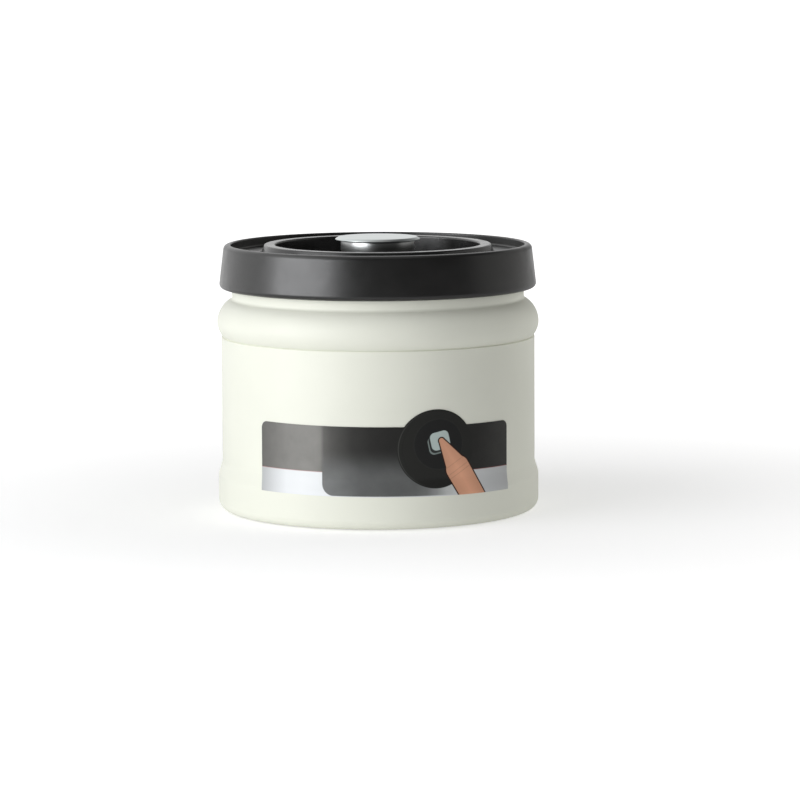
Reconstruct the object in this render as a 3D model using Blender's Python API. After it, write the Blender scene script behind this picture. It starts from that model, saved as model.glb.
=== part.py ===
"""Food canister with a press-to-seal lid, in metres, +Z up.

The origin is the middle of the underside. The label faces -Y. The lid stands on the mouth of
the jar, and its button is up, so the gasket is slack. Pressing the button tilts four levers,
which lift the seal plate and squeeze the gasket out against the mouth.
"""

import math

import bmesh
import bpy
from mathutils import Matrix, Vector

MM = 0.001

# Clearances
FIT = 0.3 * MM
SLIDE_FIT = 0.4 * MM
SINK = 0.5 * MM

# Roundness
SEGMENTS = 48
SMALL_SEGMENTS = 32
PIN_SEGMENTS = 12
FILLET_STEP = math.radians(30)
SHARP_ANGLE = math.radians(32)

# Jar shell
JAR_DIAMETER = 125.0 * MM
JAR_HEIGHT = 97.4 * MM
SHELL_WALL = 0.8 * MM
NECK_INSET = 5.7 * MM
BULGE_DROP = 23.9 * MM
BULGE_SECTION = 10.0 * MM
NECK_FILLET = 1.2 * MM
WALL_INSET = 1.55 * MM
CREASE_DEPTH = 0.75 * MM
CREASE_STEP = 0.25 * MM
FOOT_INSET = 0.2 * MM
FLARE_TOP = 19.0 * MM
FLARE_DROP = 5.5 * MM
FLARE_FILLET = 5.0 * MM
FOOT_CORNER = 4.0 * MM
FOOT_LIFT = 0.4 * MM
FOOT_TURN_IN = 10.3 * MM
BULGE_STEPS = 8

# Jar inside and underside
LINER_WALL = 0.7 * MM
NECK_GAP = 1.0 * MM
LIP_OVERHANG = 0.4 * MM
LIP_HEIGHT = 1.0 * MM
INSULATION_GAP = 2.4 * MM
LINER_SHOULDER = 6.0 * MM
LINER_MARGIN = 1.0 * MM
LINER_CORNER = 6.0 * MM
LINER_FLOOR = 6.5 * MM
BASE_MARGIN = 2.3 * MM
BASE_SHEET = 0.8 * MM
PAD_WIDTH = 13.0 * MM

# Label
LABEL_WIDTH = 107.0 * MM
LABEL_HEIGHT = 26.0 * MM
LABEL_BOTTOM = 13.2 * MM
LABEL_CORNER = 2.0 * MM
LABEL_THICKNESS = 0.4 * MM
LABEL_TURN = math.radians(3.2)
LABEL_DISC_RADIUS = 15.4 * MM
LABEL_DISC_OFFSET = 20.1 * MM
LABEL_DISC_RISE = 17.5 * MM
LABEL_STRIP = 8.0 * MM

# Lid cover
SKIRT_GAP = 2.6 * MM
SKIRT_WALL = 2.5 * MM
SKIRT_DROP = 11.0 * MM
SKIRT_DRAFT = 1.45 * MM
SKIRT_FILLET = 1.7 * MM
COVER_FLOOR = 2.2 * MM
RIM_RISE = 3.6 * MM
RIM_WIDTH = 3.25 * MM
RIM_OUTER_FILLET = 2.4 * MM
RIM_INNER_FILLET = 0.5 * MM

# Well bowl
GROOVE_WIDTH = 12.5 * MM
RING_WIDTH = 4.7 * MM
RING_FILLET = 1.6 * MM
WELL_DEPTH = 11.0 * MM
WELL_WALL = 2.0 * MM
WELL_FILLET = 2.0 * MM
BOWL_FLANGE = 2.2 * MM
BOSS_RADIUS = 3.2 * MM
BOSS_HEIGHT = 6.0 * MM

# Button
BUTTON_TRAVEL = 8.0 * MM
BUTTON_RISE = 2.7 * MM
CAP_OVERHANG = 2.2 * MM
CAP_THICKNESS = 2.5 * MM
CAP_EDGE = 0.7 * MM
CAP_BEVEL = 0.3 * MM
STEM_RADIUS = 14.3 * MM
STEM_WALL = 1.0 * MM
CORE_WALL = 1.5 * MM
CORE_CEILING = 2.4 * MM
CORE_FLANGE = 1.6 * MM
FLANGE_REACH = 1.8 * MM
FLANGE_CHAMFER = 1.0 * MM
CONTACT_REACH = 2.0 * MM
WIPER_WIDTH = 4.0 * MM
WIPER_HEIGHT = 1.2 * MM

# Return spring
WIRE_RADIUS = 0.6 * MM
SPRING_CURLS = 6
CURL_POINTS = 9

# Plug body and gasket
PLUG_GAP = 2.0 * MM
PLUG_WALL = 2.3 * MM
PLUG_FLOOR = 1.8 * MM
SEAT_WALL = 1.8 * MM
POST_RADIUS = 5.5 * MM
GASKET_GAP = 0.7 * MM
GASKET_WIDTH = 6.8 * MM
GASKET_HEIGHT = 6.0 * MM
GASKET_BULGE = 0.7 * MM

# Seal plate
PLATE_GAP = 1.0 * MM
PLATE_THICKNESS = 2.0 * MM
PLATE_RIM_STEP = 1.7 * MM
PLATE_FILLET = 1.0 * MM
HOOK_THICKNESS = 2.5 * MM
HOOK_HALF_WIDTH = 3.0 * MM
SHELF_THICKNESS = 2.0 * MM
SLOT_MARGIN = 0.8 * MM

# Levers
LEVER_COUNT = 4
LEVER_OUTER = 6.0 * MM
LEVER_TIP = 1.2 * MM
LEVER_EYE = 2.2 * MM
LEVER_HALF_WIDTH = 2.8 * MM
LEVER_PIN = 1.0 * MM
CHEEK_THICKNESS = 2.0 * MM
CHEEK_MARGIN = 1.2 * MM

# Latch hooks
LATCH_COUNT = 2
LATCH_TURN = math.radians(45)
LATCH_OUTSET = 3.8 * MM
LATCH_DROP = 2.9 * MM
LATCH_BITE = 1.4 * MM
LATCH_CLEAR = 0.6 * MM
LATCH_ARM = 1.0 * MM
LATCH_NOSE = 1.8 * MM
LATCH_HALF_WIDTH = 2.0 * MM
LATCH_EYE = 1.7 * MM
LATCH_PIN = 0.8 * MM
LATCH_CHEEK = 1.6 * MM

# Screws
SCREW_COUNT = 4
SCREW_TURN = math.radians(45)
SCREW_INSET = 7.7 * MM
SCREW_RADIUS = 1.2 * MM
SCREW_HEAD_RADIUS = 2.2 * MM
SCREW_HEAD = 1.4 * MM
SCREW_GRIP = 4.5 * MM
SCREW_SOCKET = 0.8 * MM

# Radii of the jar
BULGE_RADIUS = JAR_DIAMETER / 2
NECK_RADIUS = BULGE_RADIUS - NECK_INSET
WALL_RADIUS = BULGE_RADIUS - WALL_INSET
CREASE_RADIUS = WALL_RADIUS - CREASE_DEPTH
FOOT_RADIUS = BULGE_RADIUS - FOOT_INSET
FOOT_OPENING = FOOT_RADIUS - FOOT_TURN_IN
BASE_RADIUS = FOOT_RADIUS - FOOT_CORNER - BASE_MARGIN
BULGE_HEIGHT = JAR_HEIGHT - BULGE_DROP
BULGE_CENTRE = BULGE_RADIUS - BULGE_SECTION
MOUTH_RADIUS = NECK_RADIUS - SHELL_WALL - NECK_GAP - LINER_WALL
LIP_RADIUS = NECK_RADIUS + LIP_OVERHANG
LINER_RADIUS = WALL_RADIUS - SHELL_WALL - INSULATION_GAP - LINER_WALL

# Lid levels and radii
SEAT_Z = JAR_HEIGHT + FIT
GROOVE_Z = SEAT_Z + COVER_FLOOR
LID_TOP = GROOVE_Z + RIM_RISE
SKIRT_BOTTOM = SEAT_Z - SKIRT_DROP
SKIRT_INNER = NECK_RADIUS + SKIRT_GAP
SKIRT_OUTER = SKIRT_INNER + SKIRT_WALL
RIM_OUTER = SKIRT_OUTER - SKIRT_DRAFT
RIM_INNER = RIM_OUTER - RIM_WIDTH
RING_RADIUS = RIM_INNER - GROOVE_WIDTH
WELL_RADIUS = RING_RADIUS - RING_WIDTH
WELL_FLOOR_TOP = LID_TOP - WELL_DEPTH
WELL_FLOOR_UNDER = WELL_FLOOR_TOP - WELL_WALL
BOWL_FLANGE_TOP = SEAT_Z - FIT
BOWL_FLANGE_UNDER = BOWL_FLANGE_TOP - BOWL_FLANGE
PLUG_RADIUS = MOUTH_RADIUS - PLUG_GAP
GASKET_OUTER = MOUTH_RADIUS - GASKET_GAP
GASKET_INNER = GASKET_OUTER - GASKET_WIDTH
SEAT_RADIUS = GASKET_INNER - FIT
SEAT_INNER = SEAT_RADIUS - SEAT_WALL

# Button levels and radii
CAP_RADIUS = STEM_RADIUS + CAP_OVERHANG
CAP_TOP = LID_TOP + BUTTON_RISE
CAP_UNDER = CAP_TOP - CAP_THICKNESS
CORE_RADIUS = STEM_RADIUS - STEM_WALL - FIT
CORE_BORE = CORE_RADIUS - CORE_WALL
CORE_TOP = CAP_UNDER - FIT
CEILING_Z = CORE_TOP - CORE_CEILING
FLANGE_TOP = WELL_FLOOR_UNDER - FIT
FLANGE_UNDER = FLANGE_TOP - CORE_FLANGE
CONTACT_RADIUS = CORE_RADIUS + CONTACT_REACH
FLANGE_RADIUS = CONTACT_RADIUS + FLANGE_REACH

# Lever linkage: the outer arm lifts the plate as the inner arm goes down with the button
SLOT_OUTER = SEAT_INNER - SLOT_MARGIN
HOOK_OUTER = SLOT_OUTER - SLIDE_FIT
HOOK_INNER = HOOK_OUTER - HOOK_THICKNESS
PIVOT_RADIUS = HOOK_INNER - SLIDE_FIT - LEVER_TIP - LEVER_OUTER
LEVER_INNER = PIVOT_RADIUS - CONTACT_RADIUS
LEVER_TILT = math.asin(BUTTON_TRAVEL / 2 / LEVER_INNER)
SEAL_LIFT = BUTTON_TRAVEL * LEVER_OUTER / LEVER_INNER
PIVOT_Z = FLANGE_UNDER - FIT - LEVER_TIP - BUTTON_TRAVEL / 2
SHELF_UNDER = PIVOT_Z - SEAL_LIFT / 2 + LEVER_TIP + SLIDE_FIT
SHELF_INNER = PIVOT_RADIUS + LEVER_OUTER * math.cos(LEVER_TILT) - 0.3 * LEVER_TIP
PLUG_FLOOR_TOP = PIVOT_Z - BUTTON_TRAVEL / 2 - LEVER_TIP - SLIDE_FIT
PLUG_UNDER = PLUG_FLOOR_TOP - PLUG_FLOOR
PLATE_TOP = PLUG_UNDER - SEAL_LIFT - SLIDE_FIT
PLATE_UNDER = PLATE_TOP - PLATE_THICKNESS
PLATE_RIM_TOP = PLATE_TOP + PLATE_RIM_STEP
GASKET_UNDER = PLATE_RIM_TOP + FIT
GASKET_TOP = GASKET_UNDER + GASKET_HEIGHT
SHOULDER_Z = GASKET_TOP + FIT
POST_TOP = CEILING_Z - FIT - SCREW_HEAD - BUTTON_TRAVEL - SLIDE_FIT

# Latch linkage: the hooks swing in over the pressed flange
LATCH_RADIUS = FLANGE_RADIUS + LATCH_OUTSET
LATCH_Z = WELL_FLOOR_UNDER - LATCH_DROP
NOSE_TIP_RADIUS = FLANGE_RADIUS - LATCH_BITE
NOSE_UNDER = FLANGE_TOP - BUTTON_TRAVEL + FIT
NOSE_REACH = LATCH_RADIUS - NOSE_TIP_RADIUS
NOSE_DROP = LATCH_Z - NOSE_UNDER
LATCH_SWING = math.atan2(NOSE_REACH, NOSE_DROP) - math.asin(
    (LATCH_OUTSET - LATCH_CLEAR) / math.hypot(NOSE_REACH, NOSE_DROP)
)

# Screw levels
SCREW_CIRCLE = SEAT_INNER - SCREW_INSET
BOSS_UNDER = WELL_FLOOR_UNDER - BOSS_HEIGHT
COLUMN_TOP = BOSS_UNDER - FIT
SCREW_HEAD_TOP = PLUG_UNDER + FIT + SCREW_HEAD
SCREW_TIP = BOSS_UNDER + SCREW_GRIP


def clear_scene():
    """Remove every object that the file opened with."""
    for thing in list(bpy.data.objects):
        bpy.data.objects.remove(thing)


def material(name, colour, roughness, metallic=0.0):
    """A Principled material with one colour."""
    made = bpy.data.materials.new(name)
    made.use_nodes = True
    shader = made.node_tree.nodes["Principled BSDF"]
    shader.inputs["Base Color"].default_value = (*colour, 1.0)
    shader.inputs["Roughness"].default_value = roughness
    shader.inputs["Metallic"].default_value = metallic
    made.diffuse_color = (*colour, 1.0)
    return made


def rounded(corners):
    """Turn corners (r, z) or (r, z, fillet radius) of an outline into points, fillets as arcs."""
    points = []
    count = len(corners)
    for index, corner in enumerate(corners):
        here = Vector(corner[:2])
        if len(corner) == 2:
            points.append(tuple(here))
            continue
        back = (Vector(corners[index - 1][:2]) - here).normalized()
        ahead = (Vector(corners[(index + 1) % count][:2]) - here).normalized()
        half = back.angle(ahead) / 2
        radius = corner[2]
        centre = here + (back + ahead).normalized() * (radius / math.sin(half))
        first = here + back * (radius / math.tan(half)) - centre
        turn = first.angle_signed(here + ahead * (radius / math.tan(half)) - centre)
        steps = max(1, round(abs(turn) / FILLET_STEP))
        for step in range(steps + 1):
            spoke = first.copy()
            spoke.rotate(Matrix.Rotation(-turn * step / steps, 2))
            points.append(tuple(centre + spoke))
    return points


def arc(centre_r, centre_z, radius, start, end, steps):
    """Points (r, z) along an arc; angles are measured from the outward direction."""
    angles = [start + (end - start) * step / steps for step in range(steps + 1)]
    return [(centre_r + radius * math.cos(a), centre_z + radius * math.sin(a)) for a in angles]


def make_object(name, bm, finish):
    """Put a bmesh into a named, smooth-shaded object."""
    mesh = bpy.data.meshes.new(name)
    bm.to_mesh(mesh)
    bm.free()
    mesh.shade_smooth()
    mesh.set_sharp_from_angle(angle=SHARP_ANGLE)
    thing = bpy.data.objects.new(name, mesh)
    bpy.context.collection.objects.link(thing)
    if finish:
        mesh.materials.append(finish)
    return thing


def spin_outline(bm, outline, segments, placing=None):
    """Turn an outline (r, z) about +Z; one that starts and ends on the axis stays open there."""
    existing = set(bm.verts)
    verts = [bm.verts.new((r, 0.0, z)) for r, z in outline]
    edges = [bm.edges.new(pair) for pair in zip(verts, verts[1:])]
    if outline[0][0] > 0:
        edges.append(bm.edges.new((verts[-1], verts[0])))
    bmesh.ops.spin(
        bm,
        geom=verts + edges,
        cent=(0, 0, 0),
        axis=(0, 0, 1),
        angle=2 * math.pi,
        steps=segments,
        use_merge=True,
    )
    made = [vert for vert in bm.verts if vert not in existing]
    bmesh.ops.remove_doubles(bm, verts=made, dist=1e-6)
    made = [vert for vert in bm.verts if vert not in existing]
    faces = list({face for vert in made for face in vert.link_faces})
    bmesh.ops.recalc_face_normals(bm, faces=faces)
    if placing:
        bmesh.ops.transform(bm, matrix=placing, verts=made)


def turned(name, outline, finish, segments=SEGMENTS):
    """A named piece turned from one outline."""
    bm = bmesh.new()
    spin_outline(bm, outline, segments)
    return make_object(name, bm, finish)


def around(angle, radius=0.0, height=0.0):
    """The frame at an angle about +Z: local X points outward, local Z up."""
    return Matrix.Rotation(angle, 4, "Z") @ Matrix.Translation((radius, 0.0, height))


def add_box(bm, low, high, placing):
    """Add a box between two corners of the placing frame."""
    size = [b - a for a, b in zip(low, high)]
    middle = [(a + b) / 2 for a, b in zip(low, high)]
    shape = placing @ Matrix.Translation(middle) @ Matrix.Diagonal((*size, 1.0))
    bmesh.ops.create_cube(bm, size=1.0, matrix=shape)


def add_rod(bm, radius, start, end, segments, placing):
    """Add a round rod along the local Z of the placing frame."""
    shape = placing @ Matrix.Translation((0, 0, (start + end) / 2))
    bmesh.ops.create_cone(
        bm,
        cap_ends=True,
        segments=segments,
        radius1=radius,
        radius2=radius,
        depth=end - start,
        matrix=shape,
    )


def sideways(placing):
    """Turn a placing frame so that its local Z lies across the radius."""
    return placing @ Matrix.Rotation(math.radians(-90), 4, "X")


def combine(target, operation, name, bm):
    """Join a helper shape to a piece, or cut it out, with a live exact Boolean."""
    helper = make_object(name, bm, None)
    helper.hide_render = True
    helper.display_type = "WIRE"
    modifier = target.modifiers.new(name, "BOOLEAN")
    modifier.operation = operation
    modifier.solver = "EXACT"
    modifier.object = helper


def spaced(count, first=0.0):
    """Equal angles round the axis."""
    return [first + 2 * math.pi * index / count for index in range(count)]


def bulge_angle(radius, section):
    """Where an arc about the bulge's middle reaches a radius."""
    return math.acos((radius - BULGE_CENTRE) / section)


def shell_outside():
    """Outer side of the shell from its neck down to its foot."""
    upper = bulge_angle(NECK_RADIUS, BULGE_SECTION)
    lower = -bulge_angle(CREASE_RADIUS, BULGE_SECTION)
    bulge = arc(BULGE_CENTRE, BULGE_HEIGHT, BULGE_SECTION, upper, lower, BULGE_STEPS)
    crease_z = bulge[-1][1]
    neck_corner = (*bulge[0], NECK_FILLET)
    return [
        (NECK_RADIUS, JAR_HEIGHT - LIP_HEIGHT - FIT),
        neck_corner,
        *bulge[1:],
        (WALL_RADIUS, crease_z - CREASE_STEP),
        (WALL_RADIUS, FLARE_TOP, FLARE_FILLET),
        (FOOT_RADIUS, FLARE_TOP - FLARE_DROP, FLARE_FILLET),
        (FOOT_RADIUS, FOOT_LIFT, FOOT_CORNER),
    ]


def shell_inside():
    """Inner side of the shell from its foot up to its neck."""
    section = BULGE_SECTION - SHELL_WALL
    upper = bulge_angle(NECK_RADIUS - SHELL_WALL, section)
    lower = -bulge_angle(CREASE_RADIUS - SHELL_WALL, section)
    bulge = arc(BULGE_CENTRE, BULGE_HEIGHT, section, lower, upper, BULGE_STEPS // 2)
    inner_wall = WALL_RADIUS - SHELL_WALL
    inner_foot = FOOT_RADIUS - SHELL_WALL
    return [
        (FOOT_OPENING, FOOT_LIFT),
        (FOOT_OPENING, FOOT_LIFT + SHELL_WALL),
        (inner_foot, FOOT_LIFT + SHELL_WALL, FOOT_CORNER - SHELL_WALL),
        (inner_foot, FLARE_TOP - FLARE_DROP),
        (inner_wall, FLARE_TOP),
        (inner_wall, bulge[0][1] - 2 * SHELL_WALL),
        *bulge,
        (NECK_RADIUS - SHELL_WALL, JAR_HEIGHT - LIP_HEIGHT - FIT),
    ]


def wall_radius_at(height):
    """Outer radius of the shell at a height between its foot and its wall."""
    outside = rounded([*shell_outside(), (FOOT_OPENING, FOOT_LIFT)])
    lower, upper = min(outside, key=lambda p: p[1]), outside[0]
    for above, below in zip(outside, outside[1:]):
        if below[1] <= height <= above[1]:
            lower, upper = below, above
    share = (height - lower[1]) / (upper[1] - lower[1])
    return lower[0] + share * (upper[0] - lower[0])


def build_shell(finish):
    """Painted steel shell: neck, bulge, straight wall, flared foot and turned-in rim."""
    turned("outer_shell", rounded([*shell_outside(), *shell_inside()]), finish)


def build_liner(finish):
    """Bare steel liner, hung by its lip on the top of the shell."""
    shoulder = PLATE_UNDER - LINER_MARGIN
    lower = shoulder - LINER_SHOULDER
    under_lip = JAR_HEIGHT - LIP_HEIGHT
    outline = [
        (0.0, LINER_FLOOR),
        (LINER_RADIUS, LINER_FLOOR, LINER_CORNER),
        (LINER_RADIUS, lower),
        (MOUTH_RADIUS, shoulder),
        (MOUTH_RADIUS, JAR_HEIGHT),
        (LIP_RADIUS, JAR_HEIGHT),
        (LIP_RADIUS, under_lip),
        (MOUTH_RADIUS + LINER_WALL, under_lip),
        (MOUTH_RADIUS + LINER_WALL, shoulder),
        (LINER_RADIUS + LINER_WALL, lower),
        (LINER_RADIUS + LINER_WALL, LINER_FLOOR - LINER_WALL, LINER_CORNER + LINER_WALL),
        (0.0, LINER_FLOOR - LINER_WALL),
    ]
    turned("inner_liner", rounded(outline), finish)


def build_base(plate_finish, pad_finish):
    """Base plate inside the turned-in rim, and the soft ring that the jar stands on."""
    plate_under = FOOT_LIFT + SHELL_WALL + FIT
    plate = [
        (0.0, plate_under),
        (BASE_RADIUS, plate_under),
        (BASE_RADIUS, plate_under + BASE_SHEET),
        (0.0, plate_under + BASE_SHEET),
    ]
    turned("base_plate", plate, plate_finish)
    outer = FOOT_OPENING - FIT
    inner = outer - PAD_WIDTH
    top = plate_under - FIT
    pad = [(outer, 0.0), (outer, top), (inner, top), (inner, 0.0)]
    turned("foot_pad", pad, pad_finish)


def label_outline():
    """Flat outline (along, up) of the label: a panel whose top edge rises over a disc."""
    half = LABEL_WIDTH / 2
    rise = LABEL_HEIGHT - LABEL_DISC_RISE
    chord = math.sqrt(LABEL_DISC_RADIUS**2 - rise**2)
    reach = math.atan2(rise, chord)
    disc = arc(LABEL_DISC_OFFSET, LABEL_DISC_RISE, LABEL_DISC_RADIUS, reach, math.pi - reach, 8)
    corners = [
        (-half, 0.0),
        (half, 0.0),
        (half, LABEL_HEIGHT, LABEL_CORNER),
        *disc,
        (-half, LABEL_HEIGHT, LABEL_CORNER),
    ]
    return rounded(corners)


def build_label(finish):
    """Thin printed label that follows the wall and the foot's flare."""
    bm = bmesh.new()
    verts = [bm.verts.new((along, 0.0, up)) for along, up in label_outline()]
    face = bm.faces.new(verts)
    grown = bmesh.ops.extrude_face_region(bm, geom=[face])
    lifted = [item for item in grown["geom"] if isinstance(item, bmesh.types.BMVert)]
    bmesh.ops.translate(bm, verts=lifted, vec=(0.0, LABEL_THICKNESS, 0.0))
    bmesh.ops.triangulate(bm, faces=bm.faces)
    strips = math.ceil(LABEL_WIDTH / LABEL_STRIP)
    for index in range(1, strips):
        along = -LABEL_WIDTH / 2 + LABEL_WIDTH * index / strips
        cut_plane(bm, (along, 0.0, 0.0), (1, 0, 0))
    for share in (0.0, 0.5, 1.0):
        up = FLARE_TOP - FLARE_DROP * share - LABEL_BOTTOM
        cut_plane(bm, (0.0, 0.0, up), (0, 0, 1))
    for vert in bm.verts:
        along, out, up = vert.co
        height = LABEL_BOTTOM + up
        angle = LABEL_TURN + along / WALL_RADIUS - math.pi / 2
        radius = wall_radius_at(height) + FIT + out
        vert.co = (radius * math.cos(angle), radius * math.sin(angle), height)
    bmesh.ops.triangulate(bm, faces=bm.faces)
    bmesh.ops.recalc_face_normals(bm, faces=bm.faces)
    make_object("label", bm, finish)


def cut_plane(bm, point, normal):
    """Split every face that crosses a plane."""
    everything = [*bm.verts, *bm.edges, *bm.faces]
    bmesh.ops.bisect_plane(bm, geom=everything, plane_co=point, plane_no=normal, dist=1e-7)


def build_cover(finish):
    """Lid cover: skirt, raised rim and the shallow groove round the well."""
    hole = RING_RADIUS + FIT
    outline = [
        (SKIRT_OUTER, SKIRT_BOTTOM, SKIRT_FILLET),
        (SKIRT_INNER, SKIRT_BOTTOM),
        (SKIRT_INNER, SEAT_Z),
        (hole, SEAT_Z),
        (hole, GROOVE_Z),
        (RIM_INNER, GROOVE_Z),
        (RIM_INNER, LID_TOP, RIM_INNER_FILLET),
        (RIM_OUTER, LID_TOP, RIM_OUTER_FILLET),
    ]
    turned("lid_cover", rounded(outline), finish)


def build_bowl(finish):
    """Well bowl: raised ring, well, flange under the cover, screw bosses and latch cheeks."""
    hole = STEM_RADIUS + SLIDE_FIT
    outside = WELL_RADIUS + WELL_WALL
    outline = [
        (RING_RADIUS, BOWL_FLANGE_TOP),
        (RING_RADIUS, LID_TOP, RING_FILLET),
        (WELL_RADIUS, LID_TOP, RING_FILLET),
        (WELL_RADIUS, WELL_FLOOR_TOP, WELL_FILLET),
        (hole, WELL_FLOOR_TOP),
        (hole, WELL_FLOOR_UNDER),
        (outside, WELL_FLOOR_UNDER),
        (outside, BOWL_FLANGE_UNDER),
        (PLUG_RADIUS, BOWL_FLANGE_UNDER),
        (PLUG_RADIUS, BOWL_FLANGE_TOP),
    ]
    bowl = turned("well_bowl", rounded(outline), finish)
    bosses = bmesh.new()
    holes = bmesh.new()
    root = WELL_FLOOR_UNDER + SINK
    for angle in spaced(SCREW_COUNT, SCREW_TURN):
        placing = around(angle, SCREW_CIRCLE)
        add_rod(bosses, BOSS_RADIUS, BOSS_UNDER, root, PIN_SEGMENTS, placing)
        reach = SCREW_TIP + FIT
        add_rod(holes, SCREW_RADIUS + FIT, BOSS_UNDER - SINK, reach, PIN_SEGMENTS, placing)
    inner = LATCH_HALF_WIDTH + FIT
    for angle in spaced(LATCH_COUNT, LATCH_TURN):
        placing = around(angle, LATCH_RADIUS)
        for side in (-1, 1):
            near, far = sorted((side * inner, side * (inner + LATCH_CHEEK)))
            low = (-LATCH_EYE, near, LATCH_Z - LATCH_EYE)
            add_box(bosses, low, (LATCH_EYE, far, root), placing)
        across = sideways(around(angle, LATCH_RADIUS, LATCH_Z))
        reach = inner + LATCH_CHEEK + SINK
        add_rod(holes, LATCH_PIN + FIT, -reach, reach, PIN_SEGMENTS, across)
    combine(bowl, "UNION", "well_bowl_bosses", bosses)
    combine(bowl, "DIFFERENCE", "well_bowl_holes", holes)


def build_plug(finish):
    """Plug body under the bowl: wall, gasket shoulder, floor, spring post and lever cheeks."""
    top = BOWL_FLANGE_UNDER - FIT
    outline = [
        (0.0, PLUG_UNDER),
        (SEAT_RADIUS, PLUG_UNDER),
        (SEAT_RADIUS, SHOULDER_Z),
        (PLUG_RADIUS, SHOULDER_Z),
        (PLUG_RADIUS, top),
        (PLUG_RADIUS - PLUG_WALL, top),
        (PLUG_RADIUS - PLUG_WALL, SHOULDER_Z + SEAT_WALL),
        (SEAT_INNER, SHOULDER_Z + SEAT_WALL),
        (SEAT_INNER, PLUG_FLOOR_TOP),
        (POST_RADIUS, PLUG_FLOOR_TOP),
        (POST_RADIUS, POST_TOP),
        (0.0, POST_TOP),
    ]
    plug = turned("plug_body", outline, finish)
    ribs = bmesh.new()
    holes = bmesh.new()
    root = PLUG_FLOOR_TOP - SINK
    inner = LEVER_HALF_WIDTH + FIT
    for angle in spaced(LEVER_COUNT):
        placing = around(angle, PIVOT_RADIUS)
        half = LEVER_PIN + CHEEK_MARGIN
        for side in (-1, 1):
            near, far = sorted((side * inner, side * (inner + CHEEK_THICKNESS)))
            add_box(ribs, (-half, near, root), (half, far, PIVOT_Z + half), placing)
        across = sideways(around(angle, PIVOT_RADIUS, PIVOT_Z))
        reach = inner + CHEEK_THICKNESS + SINK
        add_rod(holes, LEVER_PIN + FIT, -reach, reach, PIN_SEGMENTS, across)
        slot = HOOK_HALF_WIDTH + SLIDE_FIT
        low = (SHELF_INNER - SLIDE_FIT, -slot, PLUG_UNDER - SINK)
        add_box(holes, low, (SLOT_OUTER, slot, PLUG_FLOOR_TOP + SINK), around(angle))
    for angle in spaced(SCREW_COUNT, SCREW_TURN):
        placing = around(angle, SCREW_CIRCLE)
        add_rod(ribs, BOSS_RADIUS, root, COLUMN_TOP, PIN_SEGMENTS, placing)
        neck = [
            (0.0, PLUG_UNDER - SINK),
            (SCREW_HEAD_RADIUS + FIT, PLUG_UNDER - SINK),
            (SCREW_HEAD_RADIUS + FIT, SCREW_HEAD_TOP + FIT),
            (SCREW_RADIUS + FIT, SCREW_HEAD_TOP + FIT),
            (SCREW_RADIUS + FIT, COLUMN_TOP + SINK),
            (0.0, COLUMN_TOP + SINK),
        ]
        spin_outline(holes, neck, PIN_SEGMENTS, placing)
    combine(plug, "UNION", "plug_body_ribs", ribs)
    combine(plug, "DIFFERENCE", "plug_body_holes", holes)


def build_gasket(finish):
    """Silicone ring between the plug's shoulder and the seal plate's rim."""
    face = GASKET_OUTER - GASKET_BULGE
    outline = [
        (GASKET_INNER, GASKET_UNDER),
        (face, GASKET_UNDER),
        (GASKET_OUTER, GASKET_UNDER + GASKET_BULGE),
        (GASKET_OUTER, GASKET_TOP - GASKET_BULGE),
        (face, GASKET_TOP),
        (GASKET_INNER, GASKET_TOP),
    ]
    turned("gasket", outline, finish)


def build_plate(finish):
    """Seal plate under the gasket, hung by four hooks on the levers' outer tips."""
    outer = MOUTH_RADIUS - PLATE_GAP
    outline = [
        (0.0, PLATE_UNDER),
        (outer, PLATE_UNDER, PLATE_FILLET),
        (outer, PLATE_RIM_TOP),
        (GASKET_INNER, PLATE_RIM_TOP),
        (GASKET_INNER, PLATE_TOP),
        (0.0, PLATE_TOP),
    ]
    plate = turned("seal_plate", rounded(outline), finish)
    hooks = bmesh.new()
    for angle in spaced(LEVER_COUNT):
        shelf_top = SHELF_UNDER + SHELF_THICKNESS
        profile = [
            (HOOK_INNER, PLATE_TOP - SINK),
            (HOOK_OUTER, PLATE_TOP - SINK),
            (HOOK_OUTER, shelf_top),
            (SHELF_INNER, shelf_top),
            (SHELF_INNER, SHELF_UNDER),
            (HOOK_INNER, SHELF_UNDER),
        ]
        add_prism(hooks, profile, HOOK_HALF_WIDTH, around(angle))
    combine(plate, "UNION", "seal_plate_hooks", hooks)


def add_prism(bm, profile, half_width, placing):
    """Add a prism with a profile (outward, up), as wide as given on both sides of the radius."""
    verts = [bm.verts.new(placing @ Vector((r, -half_width, z))) for r, z in profile]
    face = bm.faces.new(verts)
    grown = bmesh.ops.extrude_face_region(bm, geom=[face])
    moved = [item for item in grown["geom"] if isinstance(item, bmesh.types.BMVert)]
    across = placing.to_3x3() @ Vector((0.0, 2 * half_width, 0.0))
    bmesh.ops.translate(bm, verts=moved, vec=across)
    made = {face for vert in [*verts, *moved] for face in vert.link_faces}
    bmesh.ops.recalc_face_normals(bm, faces=list(made))


def circle_points(centre, radius, count):
    """Points of a circle in the radial plane."""
    turns = [2 * math.pi * index / count for index in range(count)]
    return [(centre[0] + radius * math.cos(a), centre[1] + radius * math.sin(a)) for a in turns]


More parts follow.
